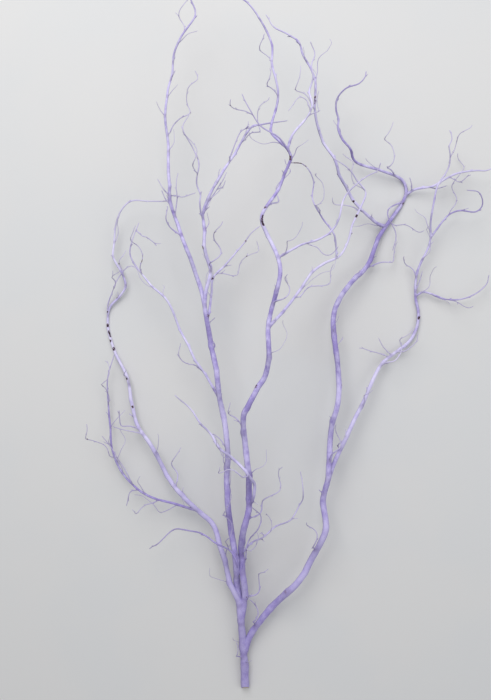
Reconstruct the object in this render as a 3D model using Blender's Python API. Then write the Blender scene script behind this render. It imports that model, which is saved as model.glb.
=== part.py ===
"""Curly willow branch, spray painted lilac, cut and lying on a table.

The stem forks low down into three limbs, and the right one forks twice more. Stem and limbs
carry long curly shoots, the shoots carry short twigs, and all of it is one grown piece, so it
is one solid. Lengths are in millimetres until the mesh is made. +Y runs from the cut end to
the tips, +Z is up.
"""
import math
import random
from dataclasses import dataclass

import bmesh
import bpy
import numpy as np

# Units and frame
METRES_PER_MM = 0.001
FULL_TURN = 2.0 * math.pi
BOX_CENTRE = (90.11, -211.30)
NODE = "willow_branch"

# Paint
PAINT_COLOUR = (0.402, 0.361, 0.617, 1.0)
PAINT_ROUGHNESS = 0.85

# Sampling of every course, and how closely the rings of a tube follow it
SAMPLE_STEP = 3.0
DRAWN_PER_PLACE = 24
RING_TOLERANCE = 1.3
TOLERANCE_PER_RADIUS = 0.09
SIDES_BELOW = ((2.3, 3), (3.3, 4), (7.0, 5), (10.0, 6))
MOST_SIDES = 7
LONGEST_RING_GAP = 60.0
STEEPEST_FOR_UPRIGHT = 0.9

# The curl that lifts and drops a shoot while its course swings from side to side
LIMB_CURL_HEIGHT = 8.0
LIMB_CURL_LENGTH = 135.0
SHORT_CURL_HEIGHT = 0.03
SHORT_CURL_LENGTH = 70.0
LONG_SHOOT = 350.0
CURL_PHASE_STEP = 2.4
CURL_FLOOR = 10.0
CURL_FREE_HEIGHT = 30.0

# Roots, cut end and tips
COLLAR_SWELL = 0.35
COLLAR_LENGTH = 7.0
ROOT_SHARE = 0.8
CUT_SLANT = 0.8
SNAP_SLANT = 0.55
TIP_LENGTH = 2.0

# Twigs placed by rule
SEED = 7
TWIG_SPACING = 230.0
TWIG_SPACING_SPREAD = 40.0
TWIG_FIRST = 60.0
TWIG_LAST = 40.0
TWIG_TURN = math.radians(144.0)
TWIG_LEAN = (math.radians(32.0), math.radians(52.0))
TWIG_LENGTH = (50.0, 170.0)
TWIG_DIAMETER_SHARE = 0.45
TWIG_DIAMETER = (1.7, 3.2)
TWIG_TIP_DIAMETER = 1.3
TWIG_TRIES = 14
TWIG_GAP = 4.0
TWIG_FREE_FROM = 18.0
TESTED_EVERY = 2
FLOOR_GAP = 4.0

# The two curls of a twig: length of a turn, and how far it leans out of its axis
WIDE_TURN = 84.0
WIDE_LEAN = 0.78
TIGHT_TURN = 38.0
TIGHT_LEAN = 0.2
CURL_EASE = 30.0
RISE_TO_TIP = 0.010

# Snapped stubs
STUB_COUNT = 12
STUB_CARRIERS = 8
STUB_REACH = (0.25, 0.85)
STUB_SAMPLES = 3
STUB_LENGTH = (7.0, 13.0)
STUB_DIAMETER = 2.6
STUB_LEAN = math.radians(50.0)

# The block whose top is the table, in metres
TABLE_BLOCK = 4.0

# The limbs and shoots: what each grows from, its diameters at even steps from root to
# tip, and the places (x, y, z) that it passes through
SHOOTS = {
    "stem": (None, (17.5, 15.0, 13.0, 12.0, 11.0, 10.5, 8.0, 6.5, 4.6, 3.8, 1.8), (
        (0, -957, 8.0), (-4, -880, 16), (-8, -805, 25), (-14, -727, 34), (-22, -647, 46),
        (-31, -583, 54), (-39, -516, 62), (-40, -483, 67), (-34, -430, 75), (-40, -362, 82),
        (-53, -301, 88), (-59, -249, 91), (-67, -188, 94), (-76, -134, 97), (-84, -92, 99),
        (-96, -55, 101), (-108, -13, 103), (-121, 21, 103), (-131, 49, 102), (-142, 79, 100),
        (-148, 112, 98), (-149, 145, 95), (-150, 182, 92), (-150, 204, 90), (-154, 248, 86),
        (-153, 290, 85), (-151, 311, 86), (-143, 340, 88), (-139, 372, 90), (-124, 402, 97),
        (-110, 422, 101), (-98, 440, 105), (-96, 453, 108), (-105, 476, 111),
        (-114, 509, 115), (-109, 526, 116), (-102, 538, 118))),
    "front_limb": ("stem", (14.5, 14.0, 13.0, 11.5, 10.5, 9.0, 7.5, 5.5, 4.2, 3.6, 1.8), (
        (-8, -806, 22), (-3, -733, 36), (-7, -660, 51), (-8, -620, 60), (-3, -577, 73),
        (10, -524, 90), (7, -475, 103), (3, -428, 114), (-1, -370, 128), (-4, -319, 140),
        (5, -300, 145), (26, -267, 154), (38, -245, 158), (43, -203, 165), (43, -151, 168),
        (48, -123, 170), (63, -66, 171), (67, -37, 169), (61, -9, 168), (39, 37, 163),
        (31, 56, 161), (34, 71, 160), (63, 115, 161), (81, 161, 165), (83, 176, 166),
        (75, 190, 168), (48, 217, 165), (48, 230, 164), (60, 284, 160), (51, 332, 154),
        (48, 384, 147), (27, 426, 142), (-3, 460, 141), (-20, 472, 141), (-33, 490, 140),
        (-36, 503, 140), (-30, 519, 140))),
    "right_limb": ("stem", (14.5, 14.0, 13.5, 12.0, 11.0, 11.0, 10.0, 8.0, 5.5, 4.2, 2.0), (
        (-5, -879, 14), (10, -833, 18), (38, -788, 23), (72, -747, 28), (104, -709, 33),
        (127, -672, 38), (157, -606, 44), (167, -575, 46), (162, -520, 48), (170, -470, 48),
        (171, -440, 48), (179, -371, 45), (190, -310, 43), (190, -248, 40), (182, -180, 35),
        (181, -135, 31), (191, -102, 28), (215, -70, 24), (248, -37, 20), (276, 27, 11),
        (304, 68, 6), (321, 92, 3.2), (331, 116, 2.4), (325, 138, 5.5), (311, 148, 11),
        (274, 160, 19), (219, 180, 32), (208, 200, 42), (190, 217, 52), (182, 239, 62),
        (184, 254, 68), (177, 272, 76), (176, 290, 82), (190, 305, 92), (216, 314, 101),
        (226, 326, 105), (229, 336, 108))),
    "left_limb": ("stem", (12.5, 11.5, 10.5, 9.5, 8.5, 7.0, 5.4, 4.8, 4.2, 3.2, 1.8), (
        (-10, -765, 28), (-35, -693, 40), (-53, -625, 46), (-67, -579, 46), (-101, -545, 46),
        (-144, -502, 43), (-169, -464, 40), (-200, -404, 33), (-228, -365, 27),
        (-239, -319, 19), (-248, -267, 12), (-273, -217, 5.5), (-287, -172, 2.4),
        (-289, -150, 2.0), (-284, -120, 5), (-261, -95, 9), (-249, -75, 13), (-253, -53, 17),
        (-271, -14, 25), (-271, 4, 29), (-268, 28, 36), (-256, 70, 50), (-228, 96, 63),
        (-190, 97, 73), (-160, 97, 79), (-147, 103, 80))),
    "outer_limb": ("right_limb", (9.5, 9.0, 8.0, 7.0, 6.0, 5.0, 4.0, 3.2, 1.8), (
        (170, -473, 48), (194, -425, 44), (226, -356, 37), (246, -315, 32), (258, -285, 28),
        (271, -258, 23), (287, -234, 19), (315, -212, 14), (345, -188, 9), (359, -160, 6.5),
        (361, -128, 6), (354, -95, 8), (355, -46, 15), (374, 4, 26), (379, 27, 32),
        (374, 65, 43), (378, 106, 53), (389, 136, 60), (404, 165, 65), (404, 186, 67),
        (400, 202, 69), (404, 216, 70), (400, 232, 72))),
    "rising_limb": ("right_limb", (6.5, 6.0, 5.5, 5.0, 4.2, 3.6, 1.8), (
        (291, 49, 10), (268, 55, 20), (243, 73, 33), (214, 104, 52), (189, 139, 74),
        (173, 172, 91), (153, 203, 106), (137, 237, 118), (131, 265, 124), (132, 303, 131),
        (123, 342, 129), (108, 367, 126), (101, 387, 122), (80, 401, 120), (52, 419, 116),
        (39, 440, 118))),
    "arch_shoot": ("stem", (7.5, 7.0, 6.2, 5.5, 4.0, 1.8), (
        (-78, -116, 98), (-77, -80, 106), (-69, -41, 114), (-76, -10, 120), (-82, 50, 131),
        (-83, 70, 135), (-67, 108, 140), (-43, 145, 146), (-22, 181, 149), (-1, 212, 150),
        (14, 232, 148), (25, 234, 143), (50, 240, 132), (79, 246, 124))),
    "arch_twin": ("arch_shoot", (2.4, 1.6), (
        (-30, 167, 148), (-24, 186, 153), (-16, 207, 156), (-4, 222, 158), (15, 227, 160))),
    "arch_side": ("arch_shoot", (3.0, 1.8), (
        (-83, 67, 134), (-69, 93, 128), (-56, 114, 124), (-43, 133, 122), (-37, 147, 118))),
    "arch_hook": ("arch_side", (2.0, 1.6), (
        (-55, 115, 124), (-44, 121, 122), (-39, 131, 121))),
    "thread_shoot": ("arch_shoot", (3.2, 2.6, 1.6), (
        (-83, 59, 134), (-87, 91, 140), (-86, 102, 142), (-93, 125, 146), (-87, 160, 152),
        (-97, 186, 157), (-113, 215, 162), (-115, 228, 163), (-105, 248, 166))),
    "fork_shoot": ("stem", (5.0, 4.2, 1.8), (
        (-76, -134, 95), (-67, -87, 88), (-64, -55, 82), (-45, -33, 78), (-15, -2, 72),
        (10, 32, 70), (27, 46, 68))),
    "left_shoot": ("stem", (5.5, 4.8, 4.0, 1.8), (
        (-54, -295, 88), (-92, -233, 80), (-130, -164, 74), (-156, -102, 70), (-194, -64, 66),
        (-225, -23, 61), (-231, -5, 60), (-225, 22, 62), (-213, 53, 66))),
    "left_shoot_twig": ("left_shoot", (2.2, 1.5), (
        (-218, 38, 63), (-206, 28, 70), (-196, 26, 75), (-177, 9, 84))),
    "hanging_shoot": ("left_limb", (5.5, 4.8, 4.0, 1.8), (
        (-98, -548, 45), (-142, -535, 41), (-189, -524, 35), (-227, -504, 30), (-263, -468, 25),
        (-280, -424, 22), (-286, -366, 19), (-290, -300, 18), (-289, -270, 19),
        (-274, -217, 24))),
    "hanging_twig": ("hanging_shoot", (2.2, 1.5), (
        (-226, -505, 30), (-243, -508, 34), (-251, -535, 36))),
    "crossing_twig": ("hanging_shoot", (2.4, 1.5), (
        (-238, -495, 28), (-249, -468, 36), (-282, -409, 40), (-299, -387, 42))),
    "left_hook": ("left_limb", (2.8, 1.6), (
        (-223, -374, 29), (-241, -366, 35), (-258, -364, 39), (-261, -347, 42),
        (-262, -331, 45))),
    "left_twig": ("left_limb", (2.6, 1.5), (
        (-214, -387, 31), (-225, -381, 33), (-254, -374, 32), (-277, -368, 30))),
    "left_loop": ("left_limb", (2.8, 1.5), (
        (-287, -141, 4), (-287, -115, 11), (-275, -85, 20), (-255, -47, 29), (-240, -35, 32),
        (-230, -33, 33), (-222, -39, 33))),
    "low_left_twig": ("stem", (4.2, 3.4, 1.8), (
        (-15, -696, 44), (-22, -640, 62), (-64, -599, 74), (-107, -576, 76), (-127, -571, 75),
        (-146, -575, 71), (-201, -623, 56))),
    "low_right_twig": ("front_limb", (4.0, 3.2, 1.8), (
        (-7, -643, 56), (9, -609, 72), (43, -581, 85), (90, -545, 98), (115, -509, 105),
        (116, -485, 108), (111, -445, 114))),
    "elbow_twig": ("front_limb", (3.6, 1.8), (
        (-5, -683, 50), (6, -604, 78), (30, -556, 98), (31, -538, 104), (13, -514, 116))),
    "front_shoot": ("front_limb", (6.5, 6.0, 4.2, 2.0), (
        (10, -520, 92), (19, -468, 118), (4, -439, 130), (-39, -396, 132), (-55, -382, 131),
        (-86, -339, 124), (-138, -284, 112))),
    "swing_shoot": ("front_limb", (6.0, 5.4, 4.6, 3.6, 1.8), (
        (45, -149, 168), (91, -93, 151), (126, -47, 137), (150, -27, 129), (183, -13, 121),
        (198, 7, 116), (206, 45, 110), (224, 81, 108), (235, 112, 108), (218, 132, 113),
        (201, 154, 118), (169, 173, 128))),
    "swing_twig": ("swing_shoot", (3.8, 3.0, 1.6), (
        (181, -15, 120), (172, 25, 130), (146, 63, 136), (129, 93, 139), (128, 132, 140),
        (109, 161, 140), (86, 165, 136))),
    "top_shoot": ("front_limb", (4.6, 3.8, 1.6), (
        (74, 185, 165), (85, 208, 171), (115, 244, 173), (123, 262, 172), (119, 291, 168),
        (124, 315, 165), (121, 339, 162), (128, 361, 159), (120, 380, 158))),
    "top_hook": ("top_shoot", (2.2, 1.5), (
        (123, 256, 172), (112, 272, 184), (98, 276, 188), (79, 253, 190))),
    "side_thread": ("front_limb", (3.4, 1.6), (
        (80, 181, 167), (63, 203, 184), (28, 226, 188), (8, 255, 186), (-6, 282, 184))),
    "zigzag_shoot": ("front_limb", (4.6, 3.6, 1.8), (
        (61, -13, 168), (100, 8, 182), (133, 18, 185), (170, 46, 182), (180, 85, 176),
        (192, 107, 171), (229, 138, 162), (249, 150, 157), (253, 161, 156))),
    "zigzag_thread": ("right_limb", (3.2, 1.6), (
        (325, 100, 8), (292, 82, 23), (290, 68, 27), (306, 34, 32), (300, 0, 36))),
    "reach_shoot": ("right_limb", (5.2, 4.2, 2.0), (
        (330, 111, 6), (345, 122, 13), (381, 129, 24), (402, 142, 30), (427, 153, 34),
        (464, 158, 38), (481, 158, 41), (505, 171, 48))),
    "reach_spur": ("reach_shoot", (2.2, 1.6), (
        (340, 119, 12), (339, 130, 22), (333, 145, 30))),
    "reach_twig": ("reach_shoot", (2.4, 1.6), (
        (372, 127, 22), (392, 125, 16), (410, 130, 14))),
    "far_hook": ("outer_limb", (4.0, 3.2, 1.8), (
        (378, 23, 31), (406, 66, 38), (425, 77, 41), (464, 77, 48), (476, 90, 51),
        (466, 114, 54), (445, 119, 54))),
    "far_wave": ("outer_limb", (4.2, 3.2, 1.8), (
        (355, -95, 8), (368, -87, 12), (385, -90, 14), (416, -102, 18), (448, -101, 20),
        (482, -85, 24), (499, -68, 26), (501, -52, 28))),
    "outer_spur": ("outer_limb", (2.8, 1.6), (
        (315, -213, 13), (332, -209, 22), (353, -187, 30), (356, -173, 34))),
    "outer_twig": ("outer_limb", (2.4, 1.6), (
        (354, -86, 8), (360, -64, 18), (364, -44, 24))),
    "inner_twig": ("outer_limb", (2.6, 1.5), (
        (302, -223, 17), (273, -211, 30), (236, -201, 38))),
    "low_fork": ("outer_limb", (2.4, 1.5), (
        (307, -219, 15), (285, -198, 27), (275, -181, 34))),
    "left_crook": ("stem", (2.2, 1.5), (
        (-150, 106, 98), (-159, 118, 103), (-170, 136, 106))),
    "right_crook": ("stem", (2.2, 1.5), (
        (-149, 105, 98), (-138, 107, 91), (-123, 103, 88), (-99, 111, 86))),
    "low_crook": ("stem", (2.2, 1.5), (
        (-139, 73, 102), (-148, 88, 94), (-157, 99, 90), (-164, 115, 88))),
    "upright_twig": ("stem", (2.6, 1.5), (
        (-137, 66, 102), (-133, 102, 111), (-132, 136, 117), (-130, 146, 118))),
    "top_stub": ("stem", (2.4, 2.0), (
        (-142, 355, 89), (-135, 381, 96))),
    "top_spur": ("stem", (2.2, 1.8), (
        (-145, 326, 88), (-136, 342, 93))),
}


@dataclass
class Shoot:
    """A grown shoot: its centre line and radius at even steps, all in millimetres."""
    name: str
    path: np.ndarray
    radius: np.ndarray
    parent_radius: float
    snapped: bool = False

    @property
    def length(self):
        """Length of the centre line."""
        return SAMPLE_STEP * (len(self.path) - 1)


def clear_scene():
    """Remove what the scene holds."""
    for item in list(bpy.data.objects):
        bpy.data.objects.remove(item, do_unlink=True)


def even_steps(path, step):
    """Place points at even steps along a finely drawn path."""
    gaps = np.linalg.norm(np.diff(path, axis=0), axis=1)
    along = np.concatenate(([0.0], np.cumsum(gaps)))
    count = max(2, int(round(along[-1] / step)) + 1)
    wanted = np.linspace(0.0, along[-1], count)
    return np.stack([np.interp(wanted, along, path[:, k]) for k in range(3)], axis=1)


def smooth_course(places):
    """Draw a smooth curve through the places of a shoot."""
    points = np.array(places, dtype=float)
    first = 2.0 * points[0] - points[1]
    last = 2.0 * points[-1] - points[-2]
    points = np.vstack([first, points, last])
    drawn = []
    for a, b, c, d in zip(points, points[1:], points[2:], points[3:]):
        knots = [0.0]
        for start, end in ((a, b), (b, c), (c, d)):
            knots.append(knots[-1] + math.sqrt(np.linalg.norm(end - start)))
        for t in np.linspace(knots[1], knots[2], DRAWN_PER_PLACE, endpoint=False):
            ab = blend(a, b, knots[0], knots[1], t)
            bc = blend(b, c, knots[1], knots[2], t)
            cd = blend(c, d, knots[2], knots[3], t)
            abc = blend(ab, bc, knots[0], knots[2], t)
            bcd = blend(bc, cd, knots[1], knots[3], t)
            drawn.append(blend(abc, bcd, knots[1], knots[2], t))
    drawn.append(points[-2])
    return even_steps(np.array(drawn), SAMPLE_STEP)


def blend(start, end, t_start, t_end, t):
    """Straight blend between two points, as t runs from t_start to t_end."""
    share = (t - t_start) / (t_end - t_start)
    return start + (end - start) * share


def lift_by_curl(path, phase):
    """Raise and lower a course in waves, gently where it lies near the table."""
    along = SAMPLE_STEP * np.arange(len(path))
    length = along[-1]
    if length > LONG_SHOOT:
        height, turn = LIMB_CURL_HEIGHT, LIMB_CURL_LENGTH
    else:
        height, turn = SHORT_CURL_HEIGHT * length, SHORT_CURL_LENGTH
    fade_in = np.minimum(1.0, along / turn)
    room = np.clip((path[:, 2] - CURL_FLOOR) / CURL_FREE_HEIGHT, 0.0, 1.0)
    waves = np.sin(FULL_TURN * along / turn + phase) - math.sin(phase)
    lifted = path.copy()
    lifted[:, 2] += height * fade_in * room * waves
    return lifted


def radii_along(diameters, count):
    """Radius at each sample, from diameters given at even steps."""
    places = np.linspace(0.0, 1.0, len(diameters))
    return np.interp(np.linspace(0.0, 1.0, count), places, diameters) / 2.0


def grow_main_shoots():
    """Grow the limbs and shoots whose courses are listed."""
    grown = {}
    for index, (name, (parent, diameters, places)) in enumerate(SHOOTS.items()):
        places = list(places)
        parent_radius = 0.0
        if parent:
            carrier = grown[parent]
            gaps = np.linalg.norm(carrier.path - np.array(places[0], dtype=float), axis=1)
            nearest = int(np.argmin(gaps))
            places[0] = tuple(carrier.path[nearest])
            parent_radius = carrier.radius[nearest]
        path = lift_by_curl(smooth_course(places), CURL_PHASE_STEP * index)
        grown[name] = Shoot(name, path, radii_along(diameters, len(path)), parent_radius)
    return grown


def side_axes(direction):
    """Two unit axes square to a direction."""
    steep = abs(direction[2]) >= STEEPEST_FOR_UPRIGHT
    helper = np.array((1.0, 0.0, 0.0) if steep else (0.0, 0.0, 1.0))
    first = np.cross(direction, helper)
    first /= np.linalg.norm(first)
    return first, np.cross(direction, first)


def twig_course(root, axis, length, phases):
    """Walk a twig out from its root, turning in a wide curl with a tight one on it."""
    point = np.array(root, dtype=float)
    course = [point]
    for index in range(int(length / SAMPLE_STEP)):
        along = index * SAMPLE_STEP
        axis = axis + np.array((0.0, RISE_TO_TIP, 0.0)) * SAMPLE_STEP
        axis = axis / np.linalg.norm(axis)
        across, over = side_axes(axis)
        wide = FULL_TURN * along / WIDE_TURN + phases[0]
        tight = FULL_TURN * along / TIGHT_TURN + phases[1]
        ease = min(1.0, along / CURL_EASE)
        lean = ease * WIDE_LEAN * (math.cos(wide) * across + math.sin(wide) * over)
        lean = lean + ease * TIGHT_LEAN * (math.cos(tight) * across + math.sin(tight) * over)
        step = axis + lean
        point = point + step / np.linalg.norm(step) * SAMPLE_STEP
        course.append(point)
    return np.array(course)


def is_free(course, radius, taken, taken_radius):
    """Whether a twig keeps clear of the table and of everything grown before it."""
    first = int(TWIG_FREE_FROM / SAMPLE_STEP)
    outer = course[first:]
    if np.any(outer[:, 2] < radius + FLOOR_GAP):
        return False
    for point in outer[::TESTED_EVERY]:
        gaps = np.linalg.norm(taken - point, axis=1) - taken_radius
        if gaps.min() < radius + TWIG_GAP:
            return False
    return True


def leaning_axis(tangent, turn, lean):
    """Direction that leans out of a shoot's own direction, at a turn about it."""
    across, over = side_axes(tangent)
    outward = math.cos(turn) * across + math.sin(turn) * over
    return math.cos(lean) * tangent + math.sin(lean) * outward


def grow_twigs(shoots, chance):
    """Set curly twigs along the shoots, each a fixed turn on from the last."""
    taken = np.vstack([shoot.path for shoot in shoots])
    taken_radius = np.concatenate([shoot.radius for shoot in shoots])
    twigs = []
    turn = 0.0
    for shoot in shoots:
        along = TWIG_FIRST + chance.uniform(0.0, TWIG_SPACING_SPREAD)
        while along < shoot.length - TWIG_LAST:
            index = int(along / SAMPLE_STEP)
            tangent = shoot.path[index + 1] - shoot.path[index - 1]
            tangent /= np.linalg.norm(tangent)
            width = 2.0 * shoot.radius[index] * TWIG_DIAMETER_SHARE
            width = min(TWIG_DIAMETER[1], max(TWIG_DIAMETER[0], width))
            for _ in range(TWIG_TRIES):
                turn += TWIG_TURN
                axis = leaning_axis(tangent, turn, chance.uniform(*TWIG_LEAN))
                length = chance.uniform(*TWIG_LENGTH)
                phases = (chance.uniform(0.0, FULL_TURN), chance.uniform(0.0, FULL_TURN))
                course = twig_course(shoot.path[index], axis, length, phases)
                if is_free(course, width / 2.0, taken, taken_radius):
                    radius = radii_along((width, TWIG_TIP_DIAMETER), len(course))
                    name = f"twig_{len(twigs):02d}"
                    twigs.append(Shoot(name, course, radius, shoot.radius[index]))
                    taken = np.vstack([taken, course])
                    taken_radius = np.concatenate([taken_radius, radius])
                    break
            along += TWIG_SPACING + chance.uniform(-1.0, 1.0) * TWIG_SPACING_SPREAD
    return twigs


def grow_stubs(shoots, chance):
    """Set short snapped stubs on the thicker shoots."""
    stubs = []
    for index in range(STUB_COUNT):
        shoot = shoots[index % len(shoots)]
        place = int(chance.uniform(*STUB_REACH) * len(shoot.path))
        tangent = shoot.path[place + 1] - shoot.path[place - 1]
        tangent /= np.linalg.norm(tangent)
        axis = leaning_axis(tangent, chance.uniform(0.0, FULL_TURN), STUB_LEAN)
        length = shoot.radius[place] + chance.uniform(*STUB_LENGTH)
        if shoot.path[place][2] + axis[2] * length < FLOOR_GAP + STUB_DIAMETER:
            continue
        count = max(STUB_SAMPLES, int(length / SAMPLE_STEP) + 1)
        course = shoot.path[place] + np.outer(np.linspace(0.0, length, count), axis)
        radius = np.full(count, STUB_DIAMETER / 2.0)
        stubs.append(Shoot(f"stub_{index:02d}", course, radius, shoot.radius[place], True))
    return stubs


def ring_places(path, tolerance):
    """Pick the samples that keep the course within a tolerance of straight runs."""
    kept = {0, len(path) - 1}
    runs = [(0, len(path) - 1)]
    while runs:
        first, last = runs.pop()
        if last - first < 2:
            continue
        chord = path[last] - path[first]
        size = np.linalg.norm(chord)
        inner = path[first + 1:last] - path[first]
        share = np.clip(inner @ chord / size ** 2, 0.0, 1.0)
        offset = np.linalg.norm(inner - np.outer(share, chord), axis=1)
        middle = first + 1 + int(np.argmax(offset))
        if offset.max() > tolerance or size > LONGEST_RING_GAP:
            if offset.max() <= tolerance:
                middle = (first + last) // 2
            kept.add(middle)
            runs += [(first, middle), (middle, last)]
    return sorted(kept)


def side_count(shoot):
    """Sides of a tube: more on a thicker shoot."""
    diameter = 2.0 * shoot.radius[0]
    for limit, sides in SIDES_BELOW:
        if diameter < limit:
            return sides
    return MOST_SIDES


def collar(shoot, index):
    """Radius of a ring, with the swelling where a shoot leaves what it grows from."""
    radius = shoot.radius[index]
    if not shoot.parent_radius:
        return radius
    past_bark = SAMPLE_STEP * index - shoot.parent_radius
    swell = COLLAR_SWELL * math.exp(-max(0.0, past_bark) / COLLAR_LENGTH)
    radius *= 1.0 + swell
    if past_bark < 0.0:
        radius = min(radius, ROOT_SHARE * shoot.parent_radius)
    return radius


def tube(shoot, collection):
    """Make the closed tube of a shoot."""
    sides = side_count(shoot)
    tolerance = RING_TOLERANCE + TOLERANCE_PER_RADIUS * shoot.radius[0]
    picked = ring_places(shoot.path, tolerance)
    mesh_builder = bmesh.new()
    rings = []
    across = None
    for index in picked:
        before = shoot.path[max(0, index - 1)]
        after = shoot.path[min(len(shoot.path) - 1, index + 1)]
        tangent = (after - before) / np.linalg.norm(after - before)
        if across is None:
            across, _ = side_axes(tangent)
        across = across - tangent * (across @ tangent)
        across /= np.linalg.norm(across)
        over = np.cross(tangent, across)
        radius = collar(shoot, index)
        ring = []
        for side in range(sides):
            angle = FULL_TURN * side / sides
            arm = radius * (math.cos(angle) * across + math.sin(angle) * over)
            if index == 0 and not shoot.parent_radius:
                arm = arm + tangent * (CUT_SLANT * arm[2])
            elif shoot.snapped and index == picked[-1]:
                arm = arm - tangent * (SNAP_SLANT * radius * math.cos(angle))
            point = shoot.path[index] + arm
            ring.append(mesh_builder.verts.new(point * METRES_PER_MM))
        rings.append(ring)
    for ring, following in zip(rings, rings[1:]):
        for side in range(sides):
            ahead = (side + 1) % sides
            corners = (ring[side], ring[ahead], following[ahead], following[side])
            mesh_builder.faces.new(corners)
    mesh_builder.faces.new(list(reversed(rings[0])))
    if shoot.snapped:
        mesh_builder.faces.new(rings[-1])
    else:
        tip = shoot.path[-1] + tangent * TIP_LENGTH
        point = mesh_builder.verts.new(tip * METRES_PER_MM)
        for side in range(sides):
            mesh_builder.faces.new((rings[-1][side], rings[-1][(side + 1) % sides], point))
    mesh = bpy.data.meshes.new(shoot.name)
    mesh_builder.to_mesh(mesh)
    mesh_builder.free()
    solid = bpy.data.objects.new(shoot.name, mesh)
    collection.objects.link(solid)
    return solid


def apply_boolean(target, operation, collection=None, other=None):
    """Apply one Boolean to an object."""
    modifier = target.modifiers.new("join", "BOOLEAN")
    modifier.operation = operation
    modifier.solver = "MANIFOLD"
    if collection:
        modifier.operand_type = "COLLECTION"
        modifier.collection = collection
    else:
        modifier.object = other
    bpy.context.view_layer.objects.active = target
    bpy.ops.object.modifier_apply(modifier=modifier.name)


def fuse(trunk, collection):
    """Join every tube to the trunk and remove the loose tubes."""
    apply_boolean(trunk, "UNION", collection=collection)
    for item in list(collection.objects):
        bpy.data.objects.remove(item, do_unlink=True)
    bpy.data.collections.remove(collection)


def trim_to_table(branch):
    """Cut the three low places flat where the branch rests on the table."""
    bpy.ops.mesh.primitive_cube_add(size=TABLE_BLOCK, location=(0.0, 0.0, -TABLE_BLOCK / 2.0))
    table = bpy.context.object
    apply_boolean(branch, "DIFFERENCE", other=table)
    bpy.data.objects.remove(table, do_unlink=True)


def paint():
    """Matt lilac spray paint."""
    material = bpy.data.materials.new("lilac_paint")
    material.use_nodes = True
    shader = material.node_tree.nodes["Principled BSDF"]
    shader.inputs["Base Color"].default_value = PAINT_COLOUR
    shader.inputs["Roughness"].default_value = PAINT_ROUGHNESS
    shader.inputs["Metallic"].default_value = 0.0
    material.diffuse_color = PAINT_COLOUR
    return material


def main():
    """Grow the branch, fuse it and stand its box centre over the origin."""
    clear_scene()
    chance = random.Random(SEED)
    main_shoots = list(grow_main_shoots().values())
    twigs = grow_twigs(main_shoots, chance)
    stubs = grow_stubs(main_shoots[:STUB_CARRIERS], chance)
    loose = bpy.data.collections.new("loose_tubes")
    bpy.context.scene.collection.children.link(loose)
    branch = tube(main_shoots[0], bpy.context.scene.collection)
    for shoot in main_shoots[1:] + twigs + stubs:
        tube(shoot, loose)
    fuse(branch, loose)
    trim_to_table(branch)
    branch.name = NODE
    branch.data.name = NODE
    for vertex in branch.data.vertices:
        vertex.co.x -= BOX_CENTRE[0] * METRES_PER_MM
        vertex.co.y -= BOX_CENTRE[1] * METRES_PER_MM
    branch.data.materials.clear()
    branch.data.materials.append(paint())
    branch.data.shade_smooth()
    print(NODE, len(twigs), "twigs", len(stubs), "stubs")


main()
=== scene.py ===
"""Curly willow branch, sprayed matt lilac: its finished look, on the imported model's frame.

The branch lies along Y with its cut end towards -Y, on a table at z = 0. Its skeleton is
grown in millimetres by the same courses and rules as the solid. It is then bent a little at
its nodes and given its finest growth, and each piece is made in metres round it.
"""
from __future__ import annotations

import logging
import math
import random
from dataclasses import dataclass, field
from enum import Enum

import bpy
import numpy as np
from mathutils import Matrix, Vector, kdtree, noise

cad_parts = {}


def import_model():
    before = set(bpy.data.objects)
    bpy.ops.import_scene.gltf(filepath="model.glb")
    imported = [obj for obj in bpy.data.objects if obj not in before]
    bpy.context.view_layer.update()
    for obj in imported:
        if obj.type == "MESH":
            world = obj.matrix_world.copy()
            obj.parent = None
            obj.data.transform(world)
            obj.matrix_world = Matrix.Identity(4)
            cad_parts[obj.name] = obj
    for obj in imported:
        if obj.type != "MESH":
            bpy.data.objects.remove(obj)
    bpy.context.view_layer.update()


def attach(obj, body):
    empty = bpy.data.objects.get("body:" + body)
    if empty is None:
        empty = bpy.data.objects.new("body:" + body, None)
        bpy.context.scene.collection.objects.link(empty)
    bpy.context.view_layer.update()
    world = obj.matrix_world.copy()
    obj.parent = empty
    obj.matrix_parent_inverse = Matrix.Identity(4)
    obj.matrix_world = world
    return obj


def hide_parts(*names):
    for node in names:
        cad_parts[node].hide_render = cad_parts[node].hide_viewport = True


LOG = logging.getLogger("willow_branch")
FULL_TURN = 2.0 * math.pi
METRES_PER_MM = 0.001
BODY = "root"
NODE = "willow_branch"

# Middle of the solid's box over the listed places, and how far pieces stay off the table,
# both in millimetres
BOX_CENTRE = (90.11, -211.30)
TABLE_CLEARANCE = 0.02

# Edges bent more than this show as edges
SHARP_EDGE = math.radians(55.0)

Place = tuple[float, float, float]
Colour = tuple[float, float, float]
Span = tuple[float, float]


class Tip(Enum):
    """How the outer end of a shoot is finished."""

    TAPERED = "tapered"
    SNAPPED = "snapped"


class Knob(Enum):
    """What a node of a shoot carries."""

    BUD = "bud"
    SCAR = "scar"
    SPUR = "spur"
    THREAD = "thread"


@dataclass(frozen=True)
class Course:
    """A listed shoot: what it grows from, its diameters and the places it passes through."""

    grows_from: str | None
    diameters: tuple[float, ...]
    places: tuple[Place, ...]


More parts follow.
